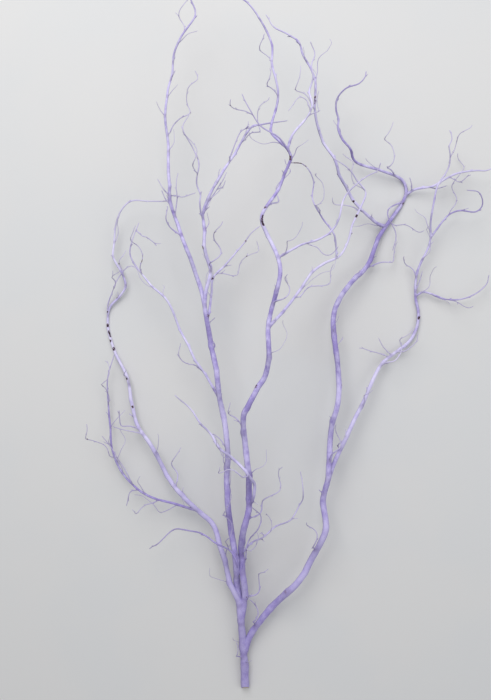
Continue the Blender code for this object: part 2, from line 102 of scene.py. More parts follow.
# The limbs and shoots: what each grows from, its diameters at even steps from root to
# tip, and the places (x, y, z) that it passes through, all in millimetres
COURSES: dict[str, Course] = {
    "stem": Course(None, (17.5, 15.0, 13.0, 12.0, 11.0, 10.5, 8.0, 6.5, 4.6, 3.8, 1.8), (
        (0, -957, 8.0), (-4, -880, 16), (-8, -805, 25), (-14, -727, 34), (-22, -647, 46),
        (-31, -583, 54), (-39, -516, 62), (-40, -483, 67), (-34, -430, 75), (-40, -362, 82),
        (-53, -301, 88), (-59, -249, 91), (-67, -188, 94), (-76, -134, 97), (-84, -92, 99),
        (-96, -55, 101), (-108, -13, 103), (-121, 21, 103), (-131, 49, 102), (-142, 79, 100),
        (-148, 112, 98), (-149, 145, 95), (-150, 182, 92), (-150, 204, 90), (-154, 248, 86),
        (-153, 290, 85), (-151, 311, 86), (-143, 340, 88), (-139, 372, 90), (-124, 402, 97),
        (-110, 422, 101), (-98, 440, 105), (-96, 453, 108), (-105, 476, 111),
        (-114, 509, 115), (-109, 526, 116), (-102, 538, 118))),
    "front_limb": Course("stem", (14.5, 14.0, 13.0, 11.5, 10.5, 9.0, 7.5, 5.5, 4.2, 3.6, 1.8), (
        (-8, -806, 22), (-3, -733, 36), (-7, -660, 51), (-8, -620, 60), (-3, -577, 73),
        (10, -524, 90), (7, -475, 103), (3, -428, 114), (-1, -370, 128), (-4, -319, 140),
        (5, -300, 145), (26, -267, 154), (38, -245, 158), (43, -203, 165), (43, -151, 168),
        (48, -123, 170), (63, -66, 171), (67, -37, 169), (61, -9, 168), (39, 37, 163),
        (31, 56, 161), (34, 71, 160), (63, 115, 161), (81, 161, 165), (83, 176, 166),
        (75, 190, 168), (48, 217, 165), (48, 230, 164), (60, 284, 160), (51, 332, 154),
        (48, 384, 147), (27, 426, 142), (-3, 460, 141), (-20, 472, 141), (-33, 490, 140),
        (-36, 503, 140), (-30, 519, 140))),
    "right_limb": Course("stem", (14.5, 14.0, 13.5, 12.0, 11.0, 11.0, 10.0, 8.0, 5.5, 4.2, 2.0), (
        (-5, -879, 14), (10, -833, 18), (38, -788, 23), (72, -747, 28), (104, -709, 33),
        (127, -672, 38), (157, -606, 44), (167, -575, 46), (162, -520, 48), (170, -470, 48),
        (171, -440, 48), (179, -371, 45), (190, -310, 43), (190, -248, 40), (182, -180, 35),
        (181, -135, 31), (191, -102, 28), (215, -70, 24), (248, -37, 20), (276, 27, 11),
        (304, 68, 6), (321, 92, 3.2), (331, 116, 2.4), (325, 138, 5.5), (311, 148, 11),
        (274, 160, 19), (219, 180, 32), (208, 200, 42), (190, 217, 52), (182, 239, 62),
        (184, 254, 68), (177, 272, 76), (176, 290, 82), (190, 305, 92), (216, 314, 101),
        (226, 326, 105), (229, 336, 108))),
    "left_limb": Course("stem", (12.5, 11.5, 10.5, 9.5, 8.5, 7.0, 5.4, 4.8, 4.2, 3.2, 1.8), (
        (-10, -765, 28), (-35, -693, 40), (-53, -625, 46), (-67, -579, 46), (-101, -545, 46),
        (-144, -502, 43), (-169, -464, 40), (-200, -404, 33), (-228, -365, 27),
        (-239, -319, 19), (-248, -267, 12), (-273, -217, 5.5), (-287, -172, 2.4),
        (-289, -150, 2.0), (-284, -120, 5), (-261, -95, 9), (-249, -75, 13), (-253, -53, 17),
        (-271, -14, 25), (-271, 4, 29), (-268, 28, 36), (-256, 70, 50), (-228, 96, 63),
        (-190, 97, 73), (-160, 97, 79), (-147, 103, 80))),
    "outer_limb": Course("right_limb", (9.5, 9.0, 8.0, 7.0, 6.0, 5.0, 4.0, 3.2, 1.8), (
        (170, -473, 48), (194, -425, 44), (226, -356, 37), (246, -315, 32), (258, -285, 28),
        (271, -258, 23), (287, -234, 19), (315, -212, 14), (345, -188, 9), (359, -160, 6.5),
        (361, -128, 6), (354, -95, 8), (355, -46, 15), (374, 4, 26), (379, 27, 32),
        (374, 65, 43), (378, 106, 53), (389, 136, 60), (404, 165, 65), (404, 186, 67),
        (400, 202, 69), (404, 216, 70), (400, 232, 72))),
    "rising_limb": Course("right_limb", (6.5, 6.0, 5.5, 5.0, 4.2, 3.6, 1.8), (
        (291, 49, 10), (268, 55, 20), (243, 73, 33), (214, 104, 52), (189, 139, 74),
        (173, 172, 91), (153, 203, 106), (137, 237, 118), (131, 265, 124), (132, 303, 131),
        (123, 342, 129), (108, 367, 126), (101, 387, 122), (80, 401, 120), (52, 419, 116),
        (39, 440, 118))),
    "arch_shoot": Course("stem", (7.5, 7.0, 6.2, 5.5, 4.0, 1.8), (
        (-78, -116, 98), (-77, -80, 106), (-69, -41, 114), (-76, -10, 120), (-82, 50, 131),
        (-83, 70, 135), (-67, 108, 140), (-43, 145, 146), (-22, 181, 149), (-1, 212, 150),
        (14, 232, 148), (25, 234, 143), (50, 240, 132), (79, 246, 124))),
    "arch_twin": Course("arch_shoot", (2.4, 1.6), (
        (-30, 167, 148), (-24, 186, 153), (-16, 207, 156), (-4, 222, 158), (15, 227, 160))),
    "arch_side": Course("arch_shoot", (3.0, 1.8), (
        (-83, 67, 134), (-69, 93, 128), (-56, 114, 124), (-43, 133, 122), (-37, 147, 118))),
    "arch_hook": Course("arch_side", (2.0, 1.6), (
        (-55, 115, 124), (-44, 121, 122), (-39, 131, 121))),
    "thread_shoot": Course("arch_shoot", (3.2, 2.6, 1.6), (
        (-83, 59, 134), (-87, 91, 140), (-86, 102, 142), (-93, 125, 146), (-87, 160, 152),
        (-97, 186, 157), (-113, 215, 162), (-115, 228, 163), (-105, 248, 166))),
    "fork_shoot": Course("stem", (5.0, 4.2, 1.8), (
        (-76, -134, 95), (-67, -87, 88), (-64, -55, 82), (-45, -33, 78), (-15, -2, 72),
        (10, 32, 70), (27, 46, 68))),
    "left_shoot": Course("stem", (5.5, 4.8, 4.0, 1.8), (
        (-54, -295, 88), (-92, -233, 80), (-130, -164, 74), (-156, -102, 70), (-194, -64, 66),
        (-225, -23, 61), (-231, -5, 60), (-225, 22, 62), (-213, 53, 66))),
    "left_shoot_twig": Course("left_shoot", (2.2, 1.5), (
        (-218, 38, 63), (-206, 28, 70), (-196, 26, 75), (-177, 9, 84))),
    "hanging_shoot": Course("left_limb", (5.5, 4.8, 4.0, 1.8), (
        (-98, -548, 45), (-142, -535, 41), (-189, -524, 35), (-227, -504, 30), (-263, -468, 25),
        (-280, -424, 22), (-286, -366, 19), (-290, -300, 18), (-289, -270, 19),
        (-274, -217, 24))),
    "hanging_twig": Course("hanging_shoot", (2.2, 1.5), (
        (-226, -505, 30), (-243, -508, 34), (-251, -535, 36))),
    "crossing_twig": Course("hanging_shoot", (2.4, 1.5), (
        (-238, -495, 28), (-249, -468, 36), (-282, -409, 40), (-299, -387, 42))),
    "left_hook": Course("left_limb", (2.8, 1.6), (
        (-223, -374, 29), (-241, -366, 35), (-258, -364, 39), (-261, -347, 42),
        (-262, -331, 45))),
    "left_twig": Course("left_limb", (2.6, 1.5), (
        (-214, -387, 31), (-225, -381, 33), (-254, -374, 32), (-277, -368, 30))),
    "left_loop": Course("left_limb", (2.8, 1.5), (
        (-287, -141, 4), (-287, -115, 11), (-275, -85, 20), (-255, -47, 29), (-240, -35, 32),
        (-230, -33, 33), (-222, -39, 33))),
    "low_left_twig": Course("stem", (4.2, 3.4, 1.8), (
        (-15, -696, 44), (-22, -640, 62), (-64, -599, 74), (-107, -576, 76), (-127, -571, 75),
        (-146, -575, 71), (-201, -623, 56))),
    "low_right_twig": Course("front_limb", (4.0, 3.2, 1.8), (
        (-7, -643, 56), (9, -609, 72), (43, -581, 85), (90, -545, 98), (115, -509, 105),
        (116, -485, 108), (111, -445, 114))),
    "elbow_twig": Course("front_limb", (3.6, 1.8), (
        (-5, -683, 50), (6, -604, 78), (30, -556, 98), (31, -538, 104), (13, -514, 116))),
    "front_shoot": Course("front_limb", (6.5, 6.0, 4.2, 2.0), (
        (10, -520, 92), (19, -468, 118), (4, -439, 130), (-39, -396, 132), (-55, -382, 131),
        (-86, -339, 124), (-138, -284, 112))),
    "swing_shoot": Course("front_limb", (6.0, 5.4, 4.6, 3.6, 1.8), (
        (45, -149, 168), (91, -93, 151), (126, -47, 137), (150, -27, 129), (183, -13, 121),
        (198, 7, 116), (206, 45, 110), (224, 81, 108), (235, 112, 108), (218, 132, 113),
        (201, 154, 118), (169, 173, 128))),
    "swing_twig": Course("swing_shoot", (3.8, 3.0, 1.6), (
        (181, -15, 120), (172, 25, 130), (146, 63, 136), (129, 93, 139), (128, 132, 140),
        (109, 161, 140), (86, 165, 136))),
    "top_shoot": Course("front_limb", (4.6, 3.8, 1.6), (
        (74, 185, 165), (85, 208, 171), (115, 244, 173), (123, 262, 172), (119, 291, 168),
        (124, 315, 165), (121, 339, 162), (128, 361, 159), (120, 380, 158))),
    "top_hook": Course("top_shoot", (2.2, 1.5), (
        (123, 256, 172), (112, 272, 184), (98, 276, 188), (79, 253, 190))),
    "side_thread": Course("front_limb", (3.4, 1.6), (
        (80, 181, 167), (63, 203, 184), (28, 226, 188), (8, 255, 186), (-6, 282, 184))),
    "zigzag_shoot": Course("front_limb", (4.6, 3.6, 1.8), (
        (61, -13, 168), (100, 8, 182), (133, 18, 185), (170, 46, 182), (180, 85, 176),
        (192, 107, 171), (229, 138, 162), (249, 150, 157), (253, 161, 156))),
    "zigzag_thread": Course("right_limb", (3.2, 1.6), (
        (325, 100, 8), (292, 82, 23), (290, 68, 27), (306, 34, 32), (300, 0, 36))),
    "reach_shoot": Course("right_limb", (5.2, 4.2, 2.0), (
        (330, 111, 6), (345, 122, 13), (381, 129, 24), (402, 142, 30), (427, 153, 34),
        (464, 158, 38), (481, 158, 41), (505, 171, 48))),
    "reach_spur": Course("reach_shoot", (2.2, 1.6), (
        (340, 119, 12), (339, 130, 22), (333, 145, 30))),
    "reach_twig": Course("reach_shoot", (2.4, 1.6), (
        (372, 127, 22), (392, 125, 16), (410, 130, 14))),
    "far_hook": Course("outer_limb", (4.0, 3.2, 1.8), (
        (378, 23, 31), (406, 66, 38), (425, 77, 41), (464, 77, 48), (476, 90, 51),
        (466, 114, 54), (445, 119, 54))),
    "far_wave": Course("outer_limb", (4.2, 3.2, 1.8), (
        (355, -95, 8), (368, -87, 12), (385, -90, 14), (416, -102, 18), (448, -101, 20),
        (482, -85, 24), (499, -68, 26), (501, -52, 28))),
    "outer_spur": Course("outer_limb", (2.8, 1.6), (
        (315, -213, 13), (332, -209, 22), (353, -187, 30), (356, -173, 34))),
    "outer_twig": Course("outer_limb", (2.4, 1.6), (
        (354, -86, 8), (360, -64, 18), (364, -44, 24))),
    "inner_twig": Course("outer_limb", (2.6, 1.5), (
        (302, -223, 17), (273, -211, 30), (236, -201, 38))),
    "low_fork": Course("outer_limb", (2.4, 1.5), (
        (307, -219, 15), (285, -198, 27), (275, -181, 34))),
    "left_crook": Course("stem", (2.2, 1.5), (
        (-150, 106, 98), (-159, 118, 103), (-170, 136, 106))),
    "right_crook": Course("stem", (2.2, 1.5), (
        (-149, 105, 98), (-138, 107, 91), (-123, 103, 88), (-99, 111, 86))),
    "low_crook": Course("stem", (2.2, 1.5), (
        (-139, 73, 102), (-148, 88, 94), (-157, 99, 90), (-164, 115, 88))),
    "upright_twig": Course("stem", (2.6, 1.5), (
        (-137, 66, 102), (-133, 102, 111), (-132, 136, 117), (-130, 146, 118))),
    "top_stub": Course("stem", (2.4, 2.0), (
        (-142, 355, 89), (-135, 381, 96))),
    "top_spur": Course("stem", (2.2, 1.8), (
        (-145, 326, 88), (-136, 342, 93))),
}


@dataclass
class Knuckle:
    """A node of a shoot, where the bark swells under what it carries."""

    along: float
    turn: float
    knob: Knob
    bare: float


@dataclass(eq=False)
class Shoot:
    """A grown shoot: its centre line and radius at even steps, in millimetres."""

    name: str
    path: np.ndarray
    radius: np.ndarray
    step: float
    carrier: Shoot | None = None
    root: int = 0
    tip: Tip = Tip.TAPERED
    knuckles: list[Knuckle] = field(default_factory=list)

    def __post_init__(self) -> None:
        """Measure the course as it was grown."""
        self.measure()

    @property
    def length(self) -> float:
        """Length of the centre line."""
        return self.step * (len(self.path) - 1)

    @property
    def along(self) -> np.ndarray:
        """Distance of each sample from the root."""
        return self.step * np.arange(len(self.path))

    @property
    def carrier_radius(self) -> float:
        """Radius of what it grows from at its root, or 0 for the stem."""
        return float(self.carrier.radius[self.root]) if self.carrier else 0.0

    @property
    def exit_sample(self) -> int:
        """Sample where the shoot comes out of the bark of its carrier."""
        return min(len(self.path) - 1, round(self.carrier_radius / self.step))

    def measure(self) -> None:
        """Work out the growth direction and two side axes, with no twist between samples."""
        ahead = np.vstack([self.path[1:], self.path[-1:]])
        behind = np.vstack([self.path[:1], self.path[:-1]])
        self.tangents = ahead - behind
        self.tangents /= np.linalg.norm(self.tangents, axis=1)[:, None]
        axis = side_axes(self.tangents[0])[0]
        self.across = np.zeros_like(self.path)
        for index, tangent in enumerate(self.tangents):
            axis = axis - tangent * (axis @ tangent)
            axis = axis / np.linalg.norm(axis)
            self.across[index] = axis
        self.over = np.cross(self.tangents, self.across)

    def sample_at(self, along: float) -> int:
        """Sample nearest to a distance from the root, other than the two ends."""
        return min(len(self.path) - 2, max(1, round(along / self.step)))

    def outward(self, index: int, turn: float) -> np.ndarray:
        """Unit direction out of the bark at a sample, at a turn about the shoot."""
        return math.cos(turn) * self.across[index] + math.sin(turn) * self.over[index]

    def bend(self, push: float, push_share: float, free_height: float, ease: float) -> None:
        """Push the centre line out at each node, so that it runs in short straights.

        Args:
            push: how far out it goes at a node, in millimetres.
            push_share: how far further it goes, as a share of the shoot's radius there.
            free_height: height over the table from which it goes the whole way.
            ease: distance over which the root follows what it grows from.
        """
        places = [0.0]
        pushes = [np.zeros(3)]
        for knuckle in self.knuckles:
            index = self.sample_at(knuckle.along)
            room = min(1.0, (self.path[index][2] / free_height) ** 2)
            reach = push + push_share * self.radius[index]
            places.append(knuckle.along)
            pushes.append(reach * room * self.outward(index, knuckle.turn))
        places.append(self.length)
        pushes.append(np.zeros(3))
        columns = np.array(pushes).T
        bent = np.stack([np.interp(self.along, places, column) for column in columns], axis=1)
        if self.carrier:
            shift = self.carrier.path[self.root] - self.path[0]
            bent += np.outer(np.exp(-self.along / ease), shift)
        self.path = self.path + bent
        self.measure()


def side_axes(direction: np.ndarray, steepest: float = 0.9) -> tuple[np.ndarray, np.ndarray]:
    """Two unit axes square to a direction.

    Args:
        direction: a unit vector.
        steepest: steepness past which upright no longer serves to find them.

    Returns:
        The two axes, which make a right-handed set with the direction.
    """
    steep = abs(direction[2]) >= steepest
    helper = np.array((1.0, 0.0, 0.0) if steep else (0.0, 0.0, 1.0))
    first = np.cross(direction, helper)
    first /= np.linalg.norm(first)
    return first, np.cross(direction, first)


def leaning_axis(tangent: np.ndarray, turn: float, lean: float) -> np.ndarray:
    """Direction that leans out of a shoot's own direction.

    Args:
        tangent: the shoot's direction.
        turn: angle about the shoot, in radians.
        lean: angle away from the shoot, in radians.

    Returns:
        The unit direction.
    """
    across, over = side_axes(tangent)
    outward = math.cos(turn) * across + math.sin(turn) * over
    return math.cos(lean) * tangent + math.sin(lean) * outward


def radii_along(diameters: tuple[float, ...], count: int) -> np.ndarray:
    """Radius at each sample, from diameters given at even steps.

    Args:
        diameters: diameters from root to tip.
        count: number of samples.

    Returns:
        One radius a sample.
    """
    places = np.linspace(0.0, 1.0, len(diameters))
    return np.interp(np.linspace(0.0, 1.0, count), places, diameters) / 2.0


class Room:
    """The space round what has grown so far, which later growth keeps clear of."""

    tested_every = 2

    def __init__(self, shoots: list[Shoot]) -> None:
        """Take up the space of the shoots that are there."""
        self.points = np.vstack([shoot.path for shoot in shoots])
        self.radii = np.concatenate([shoot.radius for shoot in shoots])

    def add(self, shoot: Shoot) -> None:
        """Take up the space of one more shoot."""
        self.points = np.vstack([self.points, shoot.path])
        self.radii = np.concatenate([self.radii, shoot.radius])

    def is_free(self, outer: np.ndarray, radius: float, gap: float, floor_gap: float) -> bool:
        """Whether a course keeps clear of the table and of everything grown before it.

        Args:
            outer: its samples past the place where it comes out of its carrier.
            radius: its radius at the root.
            gap: least clearance to other bark.
            floor_gap: least clearance to the table.

        Returns:
            True if it is clear all along.
        """
        if np.any(outer[:, 2] < radius + floor_gap):
            return False
        for point in outer[::self.tested_every]:
            gaps = np.linalg.norm(self.points - point, axis=1) - self.radii
            if gaps.min() < radius + gap:
                return False
        return True


@dataclass(frozen=True)
class CourseCurve:
    """The smooth curve through the places of a listed shoot."""

    step: float = 3.0
    drawn_per_place: int = 24

    def through(self, places: list[Place]) -> np.ndarray:
        """Draw the curve.

        Args:
            places: the points that it passes through.

        Returns:
            Points at even steps along it.
        """
        points = np.array(places, dtype=float)
        first = 2.0 * points[0] - points[1]
        last = 2.0 * points[-1] - points[-2]
        points = np.vstack([first, points, last])
        drawn = []
        for a, b, c, d in zip(points, points[1:], points[2:], points[3:]):
            knots = [0.0]
            for start, end in ((a, b), (b, c), (c, d)):
                knots.append(knots[-1] + math.sqrt(np.linalg.norm(end - start)))
            for t in np.linspace(knots[1], knots[2], self.drawn_per_place, endpoint=False):
                ab = self.blend(a, b, knots[0], knots[1], t)
                bc = self.blend(b, c, knots[1], knots[2], t)
                cd = self.blend(c, d, knots[2], knots[3], t)
                abc = self.blend(ab, bc, knots[0], knots[2], t)
                bcd = self.blend(bc, cd, knots[1], knots[3], t)
                drawn.append(self.blend(abc, bcd, knots[1], knots[2], t))
        drawn.append(points[-2])
        return self.even_steps(np.array(drawn))

    def even_steps(self, path: np.ndarray) -> np.ndarray:
        """Place points at even steps along a finely drawn path.

        Args:
            path: the path, one point a row.

        Returns:
            The evenly spaced points.
        """
        gaps = np.linalg.norm(np.diff(path, axis=0), axis=1)
        along = np.concatenate(([0.0], np.cumsum(gaps)))
        count = max(2, int(round(along[-1] / self.step)) + 1)
        wanted = np.linspace(0.0, along[-1], count)
        return np.stack([np.interp(wanted, along, path[:, k]) for k in range(3)], axis=1)

    @staticmethod
    def blend(start: np.ndarray, end: np.ndarray, t_start: float, t_end: float,
              t: float) -> np.ndarray:
        """Straight blend between two points, as t runs from t_start to t_end."""
        return start + (end - start) * ((t - t_start) / (t_end - t_start))


@dataclass(frozen=True)
class LimbCurl:
    """The wave that lifts and drops a listed shoot, in millimetres."""

    height: float = 8.0
    turn: float = 135.0
    short_height_share: float = 0.03
    short_turn: float = 70.0
    long_shoot: float = 350.0
    phase_step: float = 2.4
    free_height: float = 30.0
    floor_height: float = 10.0

    def lift(self, path: np.ndarray, number: int, step: float) -> np.ndarray:
        """Raise and lower a course in waves, gently where it lies near the table.

        Args:
            path: the course, one point a row.
            number: the shoot's place in the list, which sets where its wave begins.
            step: spacing of the points.

        Returns:
            The lifted course.
        """
        along = step * np.arange(len(path))
        height, turn = self.height, self.turn
        if along[-1] <= self.long_shoot:
            height, turn = self.short_height_share * along[-1], self.short_turn
        phase = self.phase_step * number
        fade_in = np.minimum(1.0, along / turn)
        room = np.clip((path[:, 2] - self.floor_height) / self.free_height, 0.0, 1.0)
        waves = np.sin(FULL_TURN * along / turn + phase) - math.sin(phase)
        lifted = path.copy()
        lifted[:, 2] += height * fade_in * room * waves
        return lifted


@dataclass(frozen=True)
class TwigCurl:
    """A wide curl with a tighter one on it, as a twig grows out, in millimetres."""

    wide_turn: float = 84.0
    wide_lean: float = 0.78
    tight_turn: float = 38.0
    tight_lean: float = 0.2
    ease: float = 30.0
    rise_to_tip: float = 0.010

    def walk(self, root: np.ndarray, axis: np.ndarray, length: float,
             phases: tuple[float, float], step: float) -> np.ndarray:
        """Walk a twig out from its root.

        Args:
            root: where the twig leaves the centre line of its carrier.
            axis: the direction that it sets out in.
            length: how far it grows.
            phases: where its two curls begin.
            step: spacing of the points.

        Returns:
            The points of its centre line.
        """
        point = np.array(root, dtype=float)
        points = [point]
        for index in range(int(length / step)):
            along = index * step
            axis = axis + np.array((0.0, self.rise_to_tip, 0.0)) * step
            axis = axis / np.linalg.norm(axis)
            across, over = side_axes(axis)
            wide = FULL_TURN * along / self.wide_turn + phases[0]
            tight = FULL_TURN * along / self.tight_turn + phases[1]
            ease = min(1.0, along / self.ease)
            lean = ease * self.wide_lean * (math.cos(wide) * across + math.sin(wide) * over)
            lean = lean + ease * self.tight_lean * (
                math.cos(tight) * across + math.sin(tight) * over)
            onward = axis + lean
            point = point + onward / np.linalg.norm(onward) * step
            points.append(point)
        return np.array(points)


@dataclass(frozen=True)
class TwigRule:
    """How the solid's twigs are set along the listed shoots, in millimetres."""

    spacing: float = 230.0
    spread: float = 40.0
    first: float = 60.0
    last: float = 40.0
    turn: float = math.radians(144.0)
    lean: tuple[float, float] = (math.radians(32.0), math.radians(52.0))
    length: tuple[float, float] = (50.0, 170.0)
    diameter_share: float = 0.45
    diameter: tuple[float, float] = (1.7, 3.2)
    tip_diameter: float = 1.3
    tries: int = 14
    gap: float = 4.0
    free_from: float = 18.0
    floor_gap: float = 4.0
    curl: TwigCurl = TwigCurl()

    def grow(self, shoots: list[Shoot], chance: random.Random) -> list[Shoot]:
        """Set curly twigs along the shoots, each a fixed turn on from the last.

        Args:
            shoots: the listed shoots.
            chance: the seeded source of every draw.

        Returns:
            The twigs that found a free place.
        """
        room = Room(shoots)
        twigs: list[Shoot] = []
        turn = 0.0
        for shoot in shoots:
            along = self.first + chance.uniform(0.0, self.spread)
            while along < shoot.length - self.last:
                index = int(along / shoot.step)
                width = 2.0 * shoot.radius[index] * self.diameter_share
                width = min(self.diameter[1], max(self.diameter[0], width))
                for _ in range(self.tries):
                    turn += self.turn
                    axis = leaning_axis(shoot.tangents[index], turn, chance.uniform(*self.lean))
                    length = chance.uniform(*self.length)
                    phases = (chance.uniform(0.0, FULL_TURN), chance.uniform(0.0, FULL_TURN))
                    course = self.curl.walk(shoot.path[index], axis, length, phases, shoot.step)
                    outer = course[int(self.free_from / shoot.step):]
                    if room.is_free(outer, width / 2.0, self.gap, self.floor_gap):
                        radius = radii_along((width, self.tip_diameter), len(course))
                        twigs.append(Shoot(f"twig_{len(twigs):02d}", course, radius,
                                           shoot.step, shoot, index))
                        room.add(twigs[-1])
                        break
                along += self.spacing + chance.uniform(-1.0, 1.0) * self.spread
        return twigs


@dataclass(frozen=True)
class StubRule:
    """The solid's short snapped stubs on the thicker shoots, in millimetres."""

    count: int = 12
    carriers: int = 8
    reach: tuple[float, float] = (0.25, 0.85)
    samples: int = 3
    length: tuple[float, float] = (7.0, 13.0)
    diameter: float = 2.6
    lean: float = math.radians(50.0)
    floor_gap: float = 4.0

    def grow(self, shoots: list[Shoot], chance: random.Random) -> list[Shoot]:
        """Set the stubs, one after another on the first shoots of the list.

        Args:
            shoots: the listed shoots.
            chance: the seeded source of every draw.

        Returns:
            The stubs that clear the table.
        """
        carriers = shoots[:self.carriers]
        stubs: list[Shoot] = []
        for number in range(self.count):
            shoot = carriers[number % len(carriers)]
            place = int(chance.uniform(*self.reach) * len(shoot.path))
            turn = chance.uniform(0.0, FULL_TURN)
            axis = leaning_axis(shoot.tangents[place], turn, self.lean)
            length = shoot.radius[place] + chance.uniform(*self.length)
            if shoot.path[place][2] + axis[2] * length < self.floor_gap + self.diameter:
                continue
            count = max(self.samples, int(length / shoot.step) + 1)
            course = shoot.path[place] + np.outer(np.linspace(0.0, length, count), axis)
            radius = np.full(count, self.diameter / 2.0)
            stubs.append(Shoot(f"stub_{number:02d}", course, radius, length / (count - 1),
                               shoot, place, Tip.SNAPPED))
        return stubs


@dataclass(frozen=True)
class KnuckleRule:
    """Marks the nodes of the shoots and bends the shoots at them, in millimetres."""

    seed: int = 23
    thin: float = 1.1
    stout: float = 3.6
    thin_gap: tuple[float, float] = (17.0, 27.0)
    middle_gap: tuple[float, float] = (25.0, 40.0)
    stout_gap: tuple[float, float] = (42.0, 72.0)
    first: float = 9.0
    last: float = 5.0
    turn: float = math.radians(144.0)
    turn_spread: float = 0.35
    clear_of_roots: float = 6.0
    floor_gap: float = 3.5
    spur_share: float = 0.17
    thread_share: float = 0.46
    thread_carrier: float = 1.9
    bare_share: float = 0.2
    push: float = 0.7
    push_share: float = 0.34
    free_height: float = 30.0
    root_ease: float = 15.0

    def gap(self, radius: float, chance: random.Random) -> float:
        """Draw the distance to the next node, on bark of one radius.

        Args:
            radius: the radius of the bark.
            chance: the seeded source of the draw.

        Returns:
            The distance.
        """
        if radius < self.thin:
            return chance.uniform(*self.thin_gap)
        if radius < self.stout:
            return chance.uniform(*self.middle_gap)
        return chance.uniform(*self.stout_gap)

    def draw_knob(self, radius: float, chance: random.Random) -> Knob:
        """Draw what a node carries.

        Args:
            radius: the radius of the bark.
            chance: the seeded source of the draw.

        Returns:
            A spur, a thread, or a bud on thin bark and a scar on stout bark.
        """
        draw = chance.random()
        if draw < self.spur_share:
            return Knob.SPUR
        if draw < self.thread_share and radius > self.thread_carrier:
            return Knob.THREAD
        return Knob.BUD if radius < self.stout else Knob.SCAR

    def mark(self, shoots: list[Shoot], roots: list[Shoot]) -> None:
        """Mark the nodes of some shoots and bend the shoots at them.

        Args:
            shoots: the shoots to mark, each after the one that carries it.
            roots: every shoot whose root the nodes keep clear of.
        """
        chance = random.Random(self.seed)
        root_points = np.array([shoot.path[0] for shoot in roots])
        turn = 0.0
        for shoot in shoots:
            along = shoot.carrier_radius + self.first
            while along < shoot.length - self.last:
                index = shoot.sample_at(along)
                radius = float(shoot.radius[index])
                turn += self.turn + chance.uniform(-1.0, 1.0) * self.turn_spread
                knob = self.draw_knob(radius, chance)
                bare = max(0.0, 1.0 - chance.random() / self.bare_share)
                gap = np.linalg.norm(root_points - shoot.path[index], axis=1).min()
                height = shoot.path[index][2] + shoot.outward(index, turn)[2] * radius
                if gap > self.clear_of_roots + radius and height > self.floor_gap:
                    shoot.knuckles.append(Knuckle(along, turn, knob, bare))
                along += self.gap(radius, chance)
        for shoot in shoots:
            shoot.bend(self.push, self.push_share, self.free_height, self.root_ease)


@dataclass(frozen=True)
class FineRule:
    """How one kind of fine growth leaves a node, in millimetres."""

    length: tuple[float, float]
    diameter: tuple[float, float]
    tip_diameter: float
    lean: tuple[float, float]
    curl: TwigCurl
    step: float = 2.0
    tries: int = 12
    gap: float = 2.5
    free_from: float = 12.0
    floor_gap: float = 2.0
    turn_between_tries: float = 0.9
    widest_on_carrier: float = 1.5
    leaning_to_short: float = 1.6

    def grow(self, shoot: Shoot, knuckle: Knuckle, room: Room, chance: random.Random,
             name: str) -> Shoot | None:
        """Grow one twig from a node.

        Args:
            shoot: what carries it.
            knuckle: the node.
            room: the space that is taken.
            chance: the seeded source of every draw.
            name: the twig's name.

        Returns:
            The twig, or None if nothing found a free place.
        """
        index = shoot.sample_at(knuckle.along)
        widest = self.widest_on_carrier * shoot.radius[index]
        width = min(chance.uniform(*self.diameter), widest)
        shortest, longest = self.length
        reach = shortest + chance.random() ** self.leaning_to_short * (longest - shortest)
        for attempt in range(self.tries):
            turn = knuckle.turn + attempt * self.turn_between_tries
            lean = chance.uniform(*self.lean)
            outward = shoot.outward(index, turn)
            axis = math.cos(lean) * shoot.tangents[index] + math.sin(lean) * outward
            phases = (chance.uniform(0.0, FULL_TURN), chance.uniform(0.0, FULL_TURN))
            length = shoot.radius[index] + reach
            course = self.curl.walk(shoot.path[index], axis, length, phases, self.step)
            outside = int((shoot.radius[index] + self.step) / self.step)
            clear = course[outside + int(self.free_from / self.step):]
            low = course[outside:, 2].min() < width + self.floor_gap
            if not low and room.is_free(clear, width / 2.0, self.gap, self.floor_gap):
                knuckle.turn = turn
                radius = radii_along((width, self.tip_diameter), len(course))
                return Shoot(name, course, radius, self.step, shoot, index)
        return None


@dataclass(frozen=True)
class FineGrowth:
    """The spurs and threads at the nodes, which are too many and too fine for the solid."""

    seed: int = 31
    spur: FineRule = FineRule(
        length=(4.5, 13.0), diameter=(1.5, 2.1), tip_diameter=1.0,
        lean=(math.radians(28.0), math.radians(48.0)),
        curl=TwigCurl(wide_turn=60.0, wide_lean=0.3, tight_turn=25.0, tight_lean=0.1,
                      ease=10.0, rise_to_tip=0.0))
    thread: FineRule = FineRule(
        length=(24.0, 120.0), diameter=(1.3, 2.1), tip_diameter=0.9,
        lean=(math.radians(26.0), math.radians(46.0)),
        curl=TwigCurl(wide_turn=96.0, wide_lean=0.62, tight_turn=36.0, tight_lean=0.22,
                      ease=24.0, rise_to_tip=0.012))

    def grow(self, shoots: list[Shoot], room: Room) -> list[Shoot]:
        """Grow a twig from each node that carries one, or leave it a bud or a scar.

        Args:
            shoots: the shoots whose nodes are marked.
            room: the space that is taken.

        Returns:
            The fine twigs.
        """
        chance = random.Random(self.seed)
        rules = {Knob.SPUR: self.spur, Knob.THREAD: self.thread}
        grown: list[Shoot] = []
        for shoot in shoots:
            for knuckle in shoot.knuckles:
                if knuckle.knob not in rules:
                    continue
                name = f"{knuckle.knob.value}_{len(grown):03d}"
                twig = rules[knuckle.knob].grow(shoot, knuckle, room, chance, name)
                if twig is None:
                    knuckle.knob = Knob.BUD
                    continue
                grown.append(twig)
                room.add(twig)
        return grown


